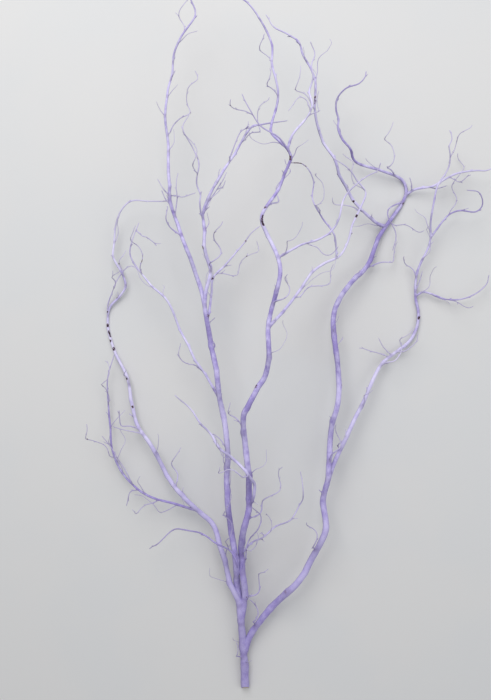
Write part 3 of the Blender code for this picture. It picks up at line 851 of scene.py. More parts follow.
@dataclass
class Skeleton:
    """Every centre line of the branch."""

    seed: int = 7
    curve: CourseCurve = CourseCurve()
    curl: LimbCurl = LimbCurl()
    twig_rule: TwigRule = TwigRule()
    stub_rule: StubRule = StubRule()
    knuckle_rule: KnuckleRule = KnuckleRule()
    fine_growth: FineGrowth = FineGrowth()

    def __post_init__(self) -> None:
        """Grow the solid's own shoots in the solid's order, then what is finer."""
        chance = random.Random(self.seed)
        listed = self.grow_listed()
        twigs = self.twig_rule.grow(listed, chance)
        stubs = self.stub_rule.grow(listed, chance)
        self.shoots = listed + twigs + stubs
        self.knuckle_rule.mark(listed + twigs, self.shoots[1:])
        for stub in stubs:
            stub.bend(0.0, 0.0, self.knuckle_rule.free_height, self.knuckle_rule.root_ease)
        self.fine = self.fine_growth.grow(listed + twigs, Room(self.shoots))
        LOG.info("skeleton: %d listed shoots, %d twigs, %d stubs, %d fine twigs",
                 len(listed), len(twigs), len(stubs), len(self.fine))

    def grow_listed(self) -> list[Shoot]:
        """Grow the listed shoots.

        Returns:
            The shoots in the order of the list, the stem first.
        """
        grown: dict[str, Shoot] = {}
        for number, (name, course) in enumerate(COURSES.items()):
            places = list(course.places)
            carrier, root = None, 0
            if course.grows_from:
                carrier = grown[course.grows_from]
                start = np.array(places[0], dtype=float)
                root = int(np.argmin(np.linalg.norm(carrier.path - start, axis=1)))
                places[0] = tuple(carrier.path[root])
            step = self.curve.step
            path = self.curl.lift(self.curve.through(places), number, step)
            radius = radii_along(course.diameters, len(path))
            grown[name] = Shoot(name, path, radius, step, carrier, root)
        return list(grown.values())


@dataclass(frozen=True)
class BareSpot:
    """A place on a listed shoot that the spray missed, in millimetres.

    Its side runs from -1 at the shoot's left edge to 1 at its right, seen from above. One with
    a length is a stroke that runs along the shoot, and its share tells how bare it is.
    """

    shoot: str
    along: float
    side: float
    reach: float
    length: float = 0.0
    share: float = 0.95

    def places(self, shoot: Shoot) -> list[np.ndarray]:
        """Find the points of the spot on the bark of its shoot, a sample apart.

        Args:
            shoot: the shoot that it names.

        Returns:
            The points, one for a round spot.
        """
        rise = math.sqrt(1.0 - self.side ** 2)
        first = shoot.sample_at(self.along - self.length / 2.0)
        last = shoot.sample_at(self.along + self.length / 2.0)
        found = []
        for index in range(first, last + 1):
            ahead = shoot.tangents[index]
            up = np.array((0.0, 0.0, 1.0)) - ahead * ahead[2]
            up /= np.linalg.norm(up)
            right = np.cross(ahead, up)
            out = self.side * right + rise * up
            found.append(shoot.path[index] + shoot.radius[index] * out)
        return found


# Where the spray missed the listed shoots: how far along each, on which side, how far the
# bare bark reaches, and for a stroke its length and share
BARE_SPOTS = (
    BareSpot("left_limb", 684, -0.1, 5.5),
    BareSpot("left_limb", 666, 0.55, 3.0, 15.0, 0.9),
    BareSpot("left_limb", 650, -0.6, 4.5),
    BareSpot("left_limb", 632, 0.2, 5.5),
    BareSpot("left_limb", 564, -0.6, 4.5),
    BareSpot("left_limb", 504, 0.3, 4.5),
    BareSpot("rising_limb", 318, 0.1, 4.6, 12.0, 0.72),
    BareSpot("front_limb", 930, -0.3, 3.6),
    BareSpot("front_limb", 906, 0.4, 3.6, 18.0),
    BareSpot("swing_twig", 218, 0.0, 4.5, 12.0, 0.75),
    BareSpot("swing_twig", 203, 0.0, 4.5, 18.0, 0.62),
    BareSpot("swing_shoot", 290, 0.1, 5.0),
    BareSpot("outer_limb", 402, 0.4, 5.0),
    BareSpot("right_limb", 1074, 0.7, 4.5),
)


class BarkMap:
    """Tells each point of the bark where on the branch it lies, for the paint to read."""

    near_count = 10
    crotch_count = 3
    bare_count = 6
    shoot_offset = 137.0
    crotch_reach = 1.3
    crotch_margin = 3.0
    knuckle_reach = 0.75
    knuckle_margin = 2.2
    coat_ease = 40.0
    seed = 41

    def __init__(self, shoots: list[Shoot]) -> None:
        """Index every sample, crotch and node of the shoots."""
        self.shoots = shoots
        self.owners = [(shoot, k) for shoot in shoots for k in range(len(shoot.path))]
        self.samples = self.tree([shoot.path[k] for shoot, k in self.owners])
        self.numbers = {shoot.name: number for number, shoot in enumerate(shoots)}
        self.coats = self.draw_coats()
        branches = [shoot for shoot in shoots if shoot.carrier]
        self.crotch_sizes = [self.crotch_margin + self.crotch_reach * shoot.carrier_radius
                             for shoot in branches]
        self.crotches = self.tree([shoot.path[shoot.exit_sample] for shoot in branches])
        marked = [(shoot, knuckle) for shoot in shoots for knuckle in shoot.knuckles]
        self.bare_shares = [knuckle.bare for _, knuckle in marked]
        places, self.bare_sizes = [], []
        for shoot, knuckle in marked:
            index = shoot.sample_at(knuckle.along)
            radius = shoot.radius[index]
            places.append(shoot.path[index] + radius * shoot.outward(index, knuckle.turn))
            self.bare_sizes.append(self.knuckle_margin + self.knuckle_reach * radius)
        by_name = {shoot.name: shoot for shoot in shoots}
        for spot in BARE_SPOTS:
            for place in spot.places(by_name[spot.shoot]):
                places.append(place)
                self.bare_sizes.append(spot.reach)
                self.bare_shares.append(spot.share)
        self.bare_places = self.tree(places)

    @staticmethod
    def tree(points: list[np.ndarray]) -> kdtree.KDTree:
        """Make a search tree of points.

        Args:
            points: the points, in order.

        Returns:
            The tree, whose indices are the points' places in the list.
        """
        made = kdtree.KDTree(len(points))
        for number, point in enumerate(points):
            made.insert(Vector(point), number)
        made.balance()
        return made

    def draw_coats(self) -> dict[str, np.ndarray]:
        """Draw how thick the paint lies on each shoot, with no jump where shoots meet.

        Returns:
            By shoot name, a value from -1 to 1 at each sample.
        """
        chance = random.Random(self.seed)
        coats: dict[str, np.ndarray] = {}
        for shoot in self.shoots:
            own = chance.uniform(-1.0, 1.0)
            start = coats[shoot.carrier.name][shoot.root] if shoot.carrier else own
            share = np.clip(shoot.along / self.coat_ease, 0.0, 1.0)
            coats[shoot.name] = start + (own - start) * share
        return coats

    def bark_place(self, point: Vector) -> tuple[Shoot, int]:
        """Find the shoot and sample whose bark a point lies on.

        Args:
            point: a place on the branch, in its own millimetres.

        Returns:
            The shoot and the sample's number.
        """
        best, least = self.owners[0], math.inf
        for _, number, gap in self.samples.find_n(point, self.near_count):
            shoot, k = self.owners[number]
            off_bark = abs(gap - shoot.radius[k])
            if off_bark < least:
                best, least = (shoot, k), off_bark
        return best

    def crotch_share(self, point: Vector) -> float:
        """How deep in a crotch a point lies, from 0 to 1 at its middle."""
        found = self.crotches.find_n(point, self.crotch_count)
        return max(math.exp(-(gap / self.crotch_sizes[number]) ** 2)
                   for _, number, gap in found)

    def bare_share(self, point: Vector) -> float:
        """How much the spray missed here, by the nodes and spots nearest to it."""
        found = self.bare_places.find_n(point, self.bare_count)
        return max(self.bare_shares[number] * math.exp(-(gap / self.bare_sizes[number]) ** 2)
                   for _, number, gap in found)

    def write(self, piece: bpy.types.Object) -> None:
        """Store what the paint reads on a piece's vertices.

        The values are the straightened place on the bark, the girth, the coat, and the shares
        of a crotch and of bare bark.

        Args:
            piece: a mesh that lies on the branch, in metres.
        """
        count = len(piece.data.vertices)
        place = np.zeros((count, 3), dtype=np.float32)
        single = {name: np.zeros(count, dtype=np.float32)
                  for name in ("girth", "coat", "crotch", "bare")}
        for vertex in piece.data.vertices:
            point = vertex.co / METRES_PER_MM
            point.x += BOX_CENTRE[0]
            point.y += BOX_CENTRE[1]
            shoot, k = self.bark_place(point)
            offset = np.array(point) - shoot.path[k]
            along = shoot.step * k + offset @ shoot.tangents[k]
            number = self.numbers[shoot.name]
            place[vertex.index] = (offset @ shoot.across[k], offset @ shoot.over[k],
                                   along + self.shoot_offset * number)
            single["girth"][vertex.index] = shoot.radius[k]
            single["coat"][vertex.index] = self.coats[shoot.name][k]
            single["crotch"][vertex.index] = self.crotch_share(point)
            single["bare"][vertex.index] = self.bare_share(point)
        stored = piece.data.attributes.new("bark_place", "FLOAT_VECTOR", "POINT")
        stored.data.foreach_set("vector", place.ravel())
        for name, values in single.items():
            stored = piece.data.attributes.new(name, "FLOAT", "POINT")
            stored.data.foreach_set("value", values)


def in_metres(points: np.ndarray) -> np.ndarray:
    """Take points from the branch's own millimetres to the row frame's metres.

    Args:
        points: the points, one a row.

    Returns:
        The points in metres.
    """
    shifted = np.array(points, dtype=float)
    shifted[:, 0] -= BOX_CENTRE[0]
    shifted[:, 1] -= BOX_CENTRE[1]
    return shifted * METRES_PER_MM


def above_table(points: np.ndarray) -> np.ndarray:
    """Raise points in metres that would dip into the table.

    Args:
        points: the points, one a row.

    Returns:
        The points, none lower than the clearance.
    """
    raised = np.array(points)
    raised[:, 2] = np.maximum(raised[:, 2], TABLE_CLEARANCE * METRES_PER_MM)
    return raised


def sawn(arms: np.ndarray, centre: np.ndarray, ahead: np.ndarray, slant: float
         ) -> np.ndarray:
    """Lay a ring on the slanted plane of a saw cut, clear of the table.

    Args:
        arms: from the centre to the ring's points, square to the stem, in millimetres.
        centre: the point that the cut passes through.
        ahead: direction of the stem there.
        slant: how far the cut runs along the stem for each millimetre up.

    Returns:
        The points on the cut.
    """
    drop = np.minimum(arms[:, 2] * (1.0 + slant * ahead[2]), -TABLE_CLEARANCE)
    share = np.minimum(1.0, (TABLE_CLEARANCE - centre[2]) / drop)
    laid = arms * share[:, None]
    return centre + laid + np.outer(slant * laid[:, 2], ahead)


class MeshParts:
    """Collects closed shapes of rings, which become one mesh."""

    def __init__(self) -> None:
        """Start with no points."""
        self.points: list[np.ndarray] = []
        self.faces: list[tuple[int, ...]] = []

    def add_rings(self, rings: np.ndarray, root: np.ndarray, end: np.ndarray) -> None:
        """Add one closed shape: rings one after another, closed by a point at each end.

        Args:
            rings: ring by ring, the points in turn.
            root: the point that closes the first ring.
            end: the point that closes the last ring.
        """
        count, sides = rings.shape[:2]
        start = sum(len(block) for block in self.points)
        self.points.append(np.vstack([rings.reshape(-1, 3), root, end]))
        closing = start + count * sides
        last = closing - sides
        for side in range(sides):
            following = (side + 1) % sides
            for ring in range(count - 1):
                here = start + ring * sides
                self.faces.append((here + side, here + following,
                                   here + sides + following, here + sides + side))
            self.faces.append((start + following, start + side, closing))
            self.faces.append((last + side, last + following, closing + 1))

    def make(self, name: str, collection: bpy.types.Collection | None = None
             ) -> bpy.types.Object:
        """Make the mesh object, in metres.

        Args:
            name: the piece's name.
            collection: where to link it, or the scene's own collection.

        Returns:
            The new object.
        """
        mesh = bpy.data.meshes.new(name)
        points = in_metres(np.vstack(self.points))
        mesh.from_pydata([tuple(point) for point in points], [], self.faces)
        mesh.update()
        piece = bpy.data.objects.new(name, mesh)
        (collection or bpy.context.scene.collection).objects.link(piece)
        return piece


def dress(piece: bpy.types.Object, material: bpy.types.Material) -> None:
    """Raise a piece off the table, give it its material and slot, and let it ride.

    Args:
        piece: the finished mesh.
        material: its look.
    """
    mesh = piece.data
    points = np.zeros(len(mesh.vertices) * 3)
    mesh.vertices.foreach_get("co", points)
    mesh.vertices.foreach_set("co", above_table(points.reshape(-1, 3)).ravel())
    mesh.update()
    mesh.materials.clear()
    mesh.materials.append(material)
    mesh.shade_smooth()
    mesh.set_sharp_from_angle(angle=SHARP_EDGE)
    mesh.calc_loop_triangles()
    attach(piece, BODY)
    LOG.info("%s: %d triangles", piece.name, len(mesh.loop_triangles))


@dataclass(frozen=True)
class BarkTube:
    """The bark round one shoot, as a closed tube. In millimetres."""

    sides_above: tuple[tuple[float, int], ...] = (
        (14.0, 20), (9.0, 16), (5.0, 12), (2.9, 9), (2.2, 8))
    fewest_sides: int = 7
    ring_gap: float = 3.0
    ring_gap_per_radius: float = 0.75
    fewest_rings: int = 3
    knuckle_rings: tuple[float, ...] = (-2.8, -1.4, 0.0, 1.2, 2.6)
    knuckle_clear: float = 1.0
    collar_swell: float = 0.35
    collar_length: float = 7.0
    root_share: float = 0.8
    cut_slant: float = 0.8
    cut_clear: float = 1.5
    tip_length: float = 2.0
    snap_ragged: float = 1.1
    snap_points: float = 5.0
    bud_swell: float = 0.26
    scar_swell: float = 0.12
    swell_reach: float = 1.1
    swell_margin: float = 1.3
    swell_behind: float = 0.45
    wander: float = 0.06
    wander_around: float = 0.5
    wander_stretch: float = 0.11

    def side_count(self, shoot: Shoot) -> int:
        """Sides of a tube: more on a thicker shoot."""
        diameter = 2.0 * shoot.radius[0]
        return next((sides for limit, sides in self.sides_above if diameter >= limit),
                    self.fewest_sides)

    def ring_places(self, shoot: Shoot) -> np.ndarray:
        """Set out the rings along a shoot, closer together at its nodes.

        Args:
            shoot: the shoot.

        Returns:
            Distances from the root, in order.
        """
        gap = max(min(self.ring_gap, shoot.step), self.ring_gap_per_radius * shoot.radius.mean())
        count = max(self.fewest_rings, round(shoot.length / gap) + 1)
        places = set(np.linspace(0.0, shoot.length, count))
        for knuckle in shoot.knuckles:
            low = knuckle.along + self.knuckle_rings[0] - self.knuckle_clear
            high = knuckle.along + self.knuckle_rings[-1] + self.knuckle_clear
            places = {place for place in places if not low < place < high}
            places.update(knuckle.along + shift for shift in self.knuckle_rings)
        first = 0.0 if shoot.carrier else self.cut_slant * shoot.radius[0] + self.cut_clear
        inner = {place for place in places if first < place < shoot.length}
        return np.array(sorted(inner | {0.0, shoot.length}))

    def with_collar(self, shoot: Shoot, along: np.ndarray, radius: np.ndarray) -> np.ndarray:
        """Swell the root of a shoot where it comes out of what it grows from.

        Args:
            shoot: the shoot.
            along: distance of each ring from the root.
            radius: plain radius at each ring.

        Returns:
            The radius at each ring, with the collar.
        """
        if not shoot.carrier:
            return radius
        past_bark = along - shoot.carrier_radius
        swell = self.collar_swell * np.exp(-np.maximum(0.0, past_bark) / self.collar_length)
        swollen = radius * (1.0 + swell)
        inner = np.minimum(swollen, self.root_share * shoot.carrier_radius)
        return np.where(past_bark < 0.0, inner, swollen)

    def relief(self, shoot: Shoot, along: np.ndarray, radius: np.ndarray,
               angle: np.ndarray) -> np.ndarray:
        """Factor on the radius for the swollen nodes and the bark's own unevenness.

        Args:
            shoot: the shoot.
            along: distance of each ring from the root.
            radius: radius at each ring.
            angle: angle of each side.

        Returns:
            One factor for each ring and side.
        """
        grown = np.ones((len(along), len(angle)))
        for knuckle in shoot.knuckles:
            swell = self.scar_swell if knuckle.knob is Knob.SCAR else self.bud_swell
            reach = self.swell_margin + self.swell_reach * np.interp(
                knuckle.along, along, radius)
            bump = np.exp(-((along - knuckle.along) / reach) ** 2)
            facing = self.swell_behind + (1.0 - self.swell_behind) * np.cos(
                angle - knuckle.turn)
            grown += swell * np.outer(bump, facing)
        for ring, place in enumerate(along):
            for side, turn in enumerate(angle):
                around = self.wander_around * radius[ring]
                spot = (math.cos(turn) * around, math.sin(turn) * around,
                        place * self.wander_stretch + shoot.path[0][0])
                grown[ring, side] += self.wander * noise.noise(Vector(spot))
        return grown

    def add_to(self, parts: MeshParts, shoot: Shoot) -> None:
        """Add the closed tube of one shoot.

        Args:
            parts: the mesh that takes it.
            shoot: the shoot.
        """
        along = self.ring_places(shoot)
        centre, across, over, ahead = (
            np.stack([np.interp(along, shoot.along, column) for column in rows.T], axis=1)
            for rows in (shoot.path, shoot.across, shoot.over, shoot.tangents))
        radius = np.interp(along, shoot.along, shoot.radius)
        radius = self.with_collar(shoot, along, radius)
        sides = self.side_count(shoot)
        angle = FULL_TURN * np.arange(sides) / sides
        size = radius[:, None] * self.relief(shoot, along, radius, angle)
        arms = (np.cos(angle)[None, :, None] * across[:, None, :]
                + np.sin(angle)[None, :, None] * over[:, None, :]) * size[:, :, None]
        rings = centre[:, None, :] + arms
        end = centre[-1] + ahead[-1] * (self.tip_length if shoot.tip is Tip.TAPERED else 0.0)
        if not shoot.carrier:
            rings[0] = sawn(arms[0], centre[0], ahead[0], self.cut_slant)
        if shoot.tip is Tip.SNAPPED:
            ragged = self.snap_ragged * np.sin(self.snap_points * angle + shoot.path[0][1])
            rings[-1] += ahead[-1] * ragged[:, None]
        parts.add_rings(rings, rings[0].mean(axis=0), end)


@dataclass(frozen=True)
class BarkSkin:
    """The bark of every shoot that the solid has, fused into one skin. In millimetres."""

    shoots: list[Shoot]
    tube: BarkTube = BarkTube()
    relax_rounds: int = 10
    relax_pace: float = 0.5
    relax_reach: float = 1.15
    relax_margin: float = 2.0
    relax_full_share: float = 0.5

    def fuse(self) -> bpy.types.Object:
        """Make the tubes and join them all to the stem's.

        Returns:
            The joined skin.
        """
        loose = bpy.data.collections.new("loose_tubes")
        bpy.context.scene.collection.children.link(loose)
        stem, *others = self.shoots
        tubes = []
        for shoot in (stem, *others):
            parts = MeshParts()
            self.tube.add_to(parts, shoot)
            home = bpy.context.scene.collection if shoot is stem else loose
            tubes.append(parts.make(shoot.name, home))
        skin = tubes[0]
        modifier = skin.modifiers.new("join", "BOOLEAN")
        modifier.operation = "UNION"
        modifier.solver = "MANIFOLD"
        modifier.operand_type = "COLLECTION"
        modifier.collection = loose
        bpy.context.view_layer.objects.active = skin
        bpy.ops.object.modifier_apply(modifier=modifier.name)
        for item in tubes[1:]:
            bpy.data.objects.remove(item, do_unlink=True)
        bpy.data.collections.remove(loose)
        skin.name = "bark_skin"
        skin.data.name = "bark_skin"
        return skin

    def crotch_weights(self, points: np.ndarray) -> np.ndarray:
        """How far each point is rounded: fully in a crotch, and not at all away from one.

        Args:
            points: the skin's points, in metres.

        Returns:
            One weight a point, from 0 to 1.
        """
        weight = np.zeros(len(points))
        for shoot in self.shoots[1:]:
            centre = in_metres(shoot.path[shoot.exit_sample][None, :])[0]
            reach = self.relax_margin + self.relax_reach * shoot.carrier_radius
            gap = np.linalg.norm(points - centre, axis=1) / (reach * METRES_PER_MM)
            near = np.clip(1.0 + self.relax_full_share - gap, 0.0, 1.0)
            weight = np.maximum(weight, near)
        return weight

    def round_crotches(self, skin: bpy.types.Object) -> None:
        """Round the creases where shoots meet.

        Args:
            skin: the joined skin.
        """
        mesh = skin.data
        points = np.zeros(len(mesh.vertices) * 3)
        mesh.vertices.foreach_get("co", points)
        points = points.reshape(-1, 3)
        weight = self.relax_pace * self.crotch_weights(points)[:, None]
        edges = np.zeros(len(mesh.edges) * 2, dtype=np.int32)
        mesh.edges.foreach_get("vertices", edges)
        edges = edges.reshape(-1, 2)
        degree = np.bincount(edges.ravel(), minlength=len(points))[:, None]
        for _ in range(self.relax_rounds):
            total = np.zeros_like(points)
            np.add.at(total, edges[:, 0], points[edges[:, 1]])
            np.add.at(total, edges[:, 1], points[edges[:, 0]])
            points += weight * (total / degree - points)
        mesh.vertices.foreach_set("co", points.ravel())
        mesh.update()

    def build(self, material: bpy.types.Material, bark_map: BarkMap) -> None:
        """Make, round and dress the skin, which stands for the solid.

        Args:
            material: the paint.
            bark_map: writes what the paint reads.
        """
        skin = self.fuse()
        self.round_crotches(skin)
        bark_map.write(skin)
        dress(skin, material)
        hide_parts(NODE)


@dataclass(frozen=True)
class FineTwigs:
    """The bark of the spurs and threads, each a closed tube sunk into what carries it."""

    shoots: list[Shoot]
    tube: BarkTube = BarkTube(fewest_sides=6, wander=0.1)

    def build(self, material: bpy.types.Material, bark_map: BarkMap) -> None:
        """Make and dress the twigs as one piece.

        Args:
            material: the paint.
            bark_map: writes what the paint reads.
        """
        parts = MeshParts()
        for shoot in self.shoots:
            self.tube.add_to(parts, shoot)
        twigs = parts.make("fine_twigs")
        bark_map.write(twigs)
        dress(twigs, material)


@dataclass(frozen=True)
class KnobForm:
    """The shape of a bud or a scar: lengths in millimetres, and shares of its length.

    The profile gives its width, as a share of the full width, at places from root to tip.
    """

    length: tuple[float, float]
    width: float
    thickness: float
    lean: float
    sunk: float
    profile: tuple[tuple[float, float], ...]


@dataclass(frozen=True)
class Buds:
    """The pressed buds on the thin shoots and the low scars on the stout ones."""

    shoots: list[Shoot]
    seed: int = 5
    sides: int = 8
    behind: float = 0.2
    widest_on_bark: float = 0.95
    forms: tuple[tuple[Knob, KnobForm], ...] = (
        (Knob.BUD, KnobForm(
            length=(3.8, 6.4), width=0.27, thickness=0.66, lean=math.radians(22.0), sunk=0.08,
            profile=((0.0, 0.55), (0.14, 0.88), (0.32, 1.0), (0.52, 0.86), (0.72, 0.58),
                     (0.88, 0.30)))),
        (Knob.SCAR, KnobForm(
            length=(4.2, 6.6), width=0.38, thickness=0.40, lean=0.0, sunk=0.06,
            profile=((0.0, 0.20), (0.12, 0.62), (0.32, 0.96), (0.5, 1.0), (0.72, 0.80),
                     (0.9, 0.42)))),
    )

    def add_knob(self, parts: MeshParts, shoot: Shoot, knuckle: Knuckle, form: KnobForm,
                 length: float) -> None:
        """Add one bud or scar.

        Args:
            parts: the mesh that takes it.
            shoot: the shoot that it sits on.
            knuckle: the node.
            form: its shape.
            length: its length, in millimetres.
        """
        index = shoot.sample_at(knuckle.along)
        radius = float(shoot.radius[index])
        outward = shoot.outward(index, knuckle.turn)
        tangent = shoot.tangents[index]
        axis = math.cos(form.lean) * tangent + math.sin(form.lean) * outward
        lift = math.cos(form.lean) * outward - math.sin(form.lean) * tangent
        beside = np.cross(axis, lift)
        width = min(form.width * length, self.widest_on_bark * radius)
        shift = knuckle.along - index * shoot.step - self.behind * length
        root = shoot.path[index] + tangent * shift + outward * radius * (1.0 - form.sunk)
        angle = FULL_TURN * np.arange(self.sides) / self.sides
        section = (np.outer(np.cos(angle), beside)
                   + np.outer(form.thickness * np.sin(angle), lift)) * width
        rings = np.array([root + axis * place * length + section * size
                          for place, size in form.profile])
        parts.add_rings(rings, root, root + axis * length)

    def build(self, material: bpy.types.Material, bark_map: BarkMap) -> None:
        """Make and dress every bud and scar as one piece.

        Args:
            material: the paint.
            bark_map: writes what the paint reads.
        """
        chance = random.Random(self.seed)
        forms = dict(self.forms)
        parts = MeshParts()
        for shoot in self.shoots:
            for knuckle in shoot.knuckles:
                form = forms.get(knuckle.knob)
                if form:
                    length = chance.uniform(*form.length)
                    self.add_knob(parts, shoot, knuckle, form, length)
        buds = parts.make("buds")
        bark_map.write(buds)
        dress(buds, material)


@dataclass(frozen=True)
class CutEnd:
    """The slanted saw cut at the foot of the stem: a disc of wood inside the bark's rim."""

    stem: Shoot
    slant: float = 0.8
    rings: int = 12
    sides: int = 48
    share: float = 0.9
    proud: float = 0.25
    plug: float = 4.0
    plug_share: float = 0.8

    def disc_ring(self, share: float, inward: float) -> np.ndarray:
        """Lay out one ring of the disc on the cut.

        Args:
            share: its size, as a share of the stem's.
            inward: how far it lies behind the skin's own end.

        Returns:
            Its points.
        """
        centre, ahead = self.stem.path[0], self.stem.tangents[0]
        angle = FULL_TURN * np.arange(self.sides) / self.sides
        arms = self.stem.radius[0] * share * (
            np.outer(np.cos(angle), self.stem.across[0])
            + np.outer(np.sin(angle), self.stem.over[0]))
        return sawn(arms, centre, ahead, self.slant) + inward * ahead

    def build(self, material: bpy.types.Material) -> None:
        """Make and dress the disc, a shallow plug just proud of the skin's own end.

        Args:
            material: the cut wood.
        """
        shares = np.linspace(1.0 / self.rings, 1.0, self.rings)
        rings = [self.disc_ring(self.share * share, -self.proud) for share in shares]
        rings.append(self.disc_ring(self.share * self.plug_share, self.plug))
        parts = MeshParts()
        parts.add_rings(np.array(rings), rings[0].mean(axis=0), rings[-1].mean(axis=0))
        face = parts.make("cut_face")
        from_pith = [share for share in (*shares, 1.0) for _ in range(self.sides)]
        stored = face.data.attributes.new("from_pith", "FLOAT", "POINT")
        stored.data.foreach_set("value", from_pith + [0.0, 1.0])
        dress(face, material)


def seen(red: int, green: int, blue: int) -> Colour:
    """Work out the linear colour that is seen as a screen colour, by the sRGB curve.

    Args:
        red: red, from 0 to 255.
        green: green, from 0 to 255.
        blue: blue, from 0 to 255.

    Returns:
        The linear colour, which the shaders take.
    """
    shares = (red / 255.0, green / 255.0, blue / 255.0)
    return tuple(share / 12.92 if share <= 0.04045 else ((share + 0.055) / 1.055) ** 2.4
                 for share in shares)


Socket = bpy.types.NodeSocket


class NodeBoard:
    """Short calls that add and join the nodes of one material."""

    def __init__(self, name: str) -> None:
        """Start a material with its own shader, and nothing joined to it."""
        self.material = bpy.data.materials.new(name)
        self.material.use_nodes = True
        self.tree = self.material.node_tree
        self.shader = self.tree.nodes["Principled BSDF"]

    def feed(self, socket: Socket, value: Socket | float | Colour) -> None:
        """Join a socket to another, or set its own value.

        Args:
            socket: the input.
            value: what it takes.
        """
        if isinstance(value, Socket):
            self.tree.links.new(value, socket)
        elif socket.type == "RGBA":
            socket.default_value = (*value, 1.0)
        else:
            socket.default_value = value

    def set_shader(self, **values: Socket | float | Colour) -> None:
        """Feed the shader's inputs, whose names are given with underscores."""
        for name, value in values.items():
            self.feed(self.shader.inputs[name.replace("_", " ")], value)

    def stored(self, name: str, output: str = "Fac") -> Socket:
        """Read a value that is stored on the vertices.

        Args:
            name: the attribute.
            output: which form of it to read.

        Returns:
            The value.
        """
        node = self.tree.nodes.new("ShaderNodeAttribute")
        node.attribute_name = name
        return node.outputs[output]

    def place(self) -> Socket:
        """The object's own coordinates, in metres."""
        return self.tree.nodes.new("ShaderNodeTexCoord").outputs["Object"]

    def part_of(self, vector: Socket, axis: str) -> Socket:
        """Take one axis of a vector.

        Args:
            vector: the vector.
            axis: X, Y or Z.

        Returns:
            Its value on the axis.
        """
        node = self.tree.nodes.new("ShaderNodeSeparateXYZ")
        self.feed(node.inputs["Vector"], vector)
        return node.outputs[axis]

    def facing(self, direction: Place) -> Socket:
        """Measure how squarely the surface faces a fixed direction.

        Args:
            direction: the direction, in the row frame.

        Returns:
            A value from -1 to 1.
        """
        normal = self.tree.nodes.new("ShaderNodeNewGeometry").outputs["Normal"]
        node = self.tree.nodes.new("ShaderNodeVectorMath")
        node.operation = "DOT_PRODUCT"
        self.feed(node.inputs[0], normal)
        node.inputs[1].default_value = Vector(direction).normalized()
        return node.outputs["Value"]

    def stretch(self, vector: Socket, scale: Place) -> Socket:
        """Scale a vector along its own axes.

        Args:
            vector: the vector.
            scale: factor on each axis.

        Returns:
            The scaled vector.
        """
        node = self.tree.nodes.new("ShaderNodeVectorMath")
        node.operation = "MULTIPLY"
        self.feed(node.inputs[0], vector)
        node.inputs[1].default_value = scale
        return node.outputs["Vector"]

    def noise(self, vector: Socket, scale: float, detail: float = 2.0,
              roughness: float = 0.5) -> Socket:
        """Add a cloudy noise.

        Args:
            vector: where to read it.
            scale: features a unit of the vector.
            detail: octaves.
            roughness: share of each finer octave.

        Returns:
            A value from 0 to 1.
        """
        node = self.tree.nodes.new("ShaderNodeTexNoise")
        self.feed(node.inputs["Vector"], vector)
        node.inputs["Scale"].default_value = scale
        node.inputs["Detail"].default_value = detail
        node.inputs["Roughness"].default_value = roughness
        return node.outputs["Fac"]

    def dots(self, vector: Socket, scale: float) -> Socket:
        """Add scattered dots.

        Args:
            vector: where to read them.
            scale: dots a unit of the vector.

        Returns:
            The distance to the nearest dot's middle, in gaps between dots.
        """
        node = self.tree.nodes.new("ShaderNodeTexVoronoi")
        self.feed(node.inputs["Vector"], vector)
        node.inputs["Scale"].default_value = scale
        return node.outputs["Distance"]

    def spread(self, value: Socket, low: float, high: float, to_low: float = 0.0,
               to_high: float = 1.0) -> Socket:
        """Map a range of a value smoothly to another range, and clamp it there.

        Args:
            value: the value.
            low: first end of its range.
            high: last end of its range.
            to_low: result at the first end.
            to_high: result at the last end.

        Returns:
            The mapped value.
        """
        node = self.tree.nodes.new("ShaderNodeMapRange")
        node.interpolation_type = "SMOOTHSTEP"
        for name, number in (("From Min", low), ("From Max", high),
                             ("To Min", to_low), ("To Max", to_high)):
            node.inputs[name].default_value = number
        self.feed(node.inputs["Value"], value)
        return node.outputs["Result"]

    def combine(self, operation: str, first: Socket, second: Socket | float) -> Socket:
        """Do one sum on two values.

        Args:
            operation: the sum's name, such as ADD.
            first: first value.
            second: second value.

        Returns:
            The result.
        """
        node = self.tree.nodes.new("ShaderNodeMath")
        node.operation = operation
        self.feed(node.inputs[0], first)
        self.feed(node.inputs[1], second)
        return node.outputs["Value"]

    def weigh(self, *terms: tuple[Socket, float]) -> Socket:
        """Add values, each times its weight.

        Args:
            terms: the values with their weights.

        Returns:
            The sum.
        """
        total = None
        for value, weight in terms:
            part = self.combine("MULTIPLY", value, weight)
            total = part if total is None else self.combine("ADD", total, part)
        return total

    def mix(self, share: Socket, first: Socket | Colour, second: Socket | Colour) -> Socket:
        """Mix two colours.

        Args:
            share: share of the second.
            first: the colour at share 0.
            second: the colour at share 1.

        Returns:
            The mixed colour.
        """
        node = self.tree.nodes.new("ShaderNodeMix")
        node.data_type = "RGBA"
        shown = {socket.name: socket for socket in node.inputs if socket.enabled}
        self.feed(shown["Factor"], share)
        self.feed(shown["A"], first)
        self.feed(shown["B"], second)
        return next(socket for socket in node.outputs if socket.enabled)

    def bump(self, height: Socket, strength: float, distance: float) -> None:
        """Add relief to the shader, on top of what it already has.

        Args:
            height: the relief.
            strength: how much of it shows.
            distance: its depth, in metres.
        """
        node = self.tree.nodes.new("ShaderNodeBump")
        node.inputs["Strength"].default_value = strength
        node.inputs["Distance"].default_value = distance
        self.feed(node.inputs["Height"], height)
        normal = self.shader.inputs["Normal"]
        if normal.is_linked:
            self.feed(node.inputs["Normal"], normal.links[0].from_socket)
        self.feed(normal, node.outputs["Normal"])


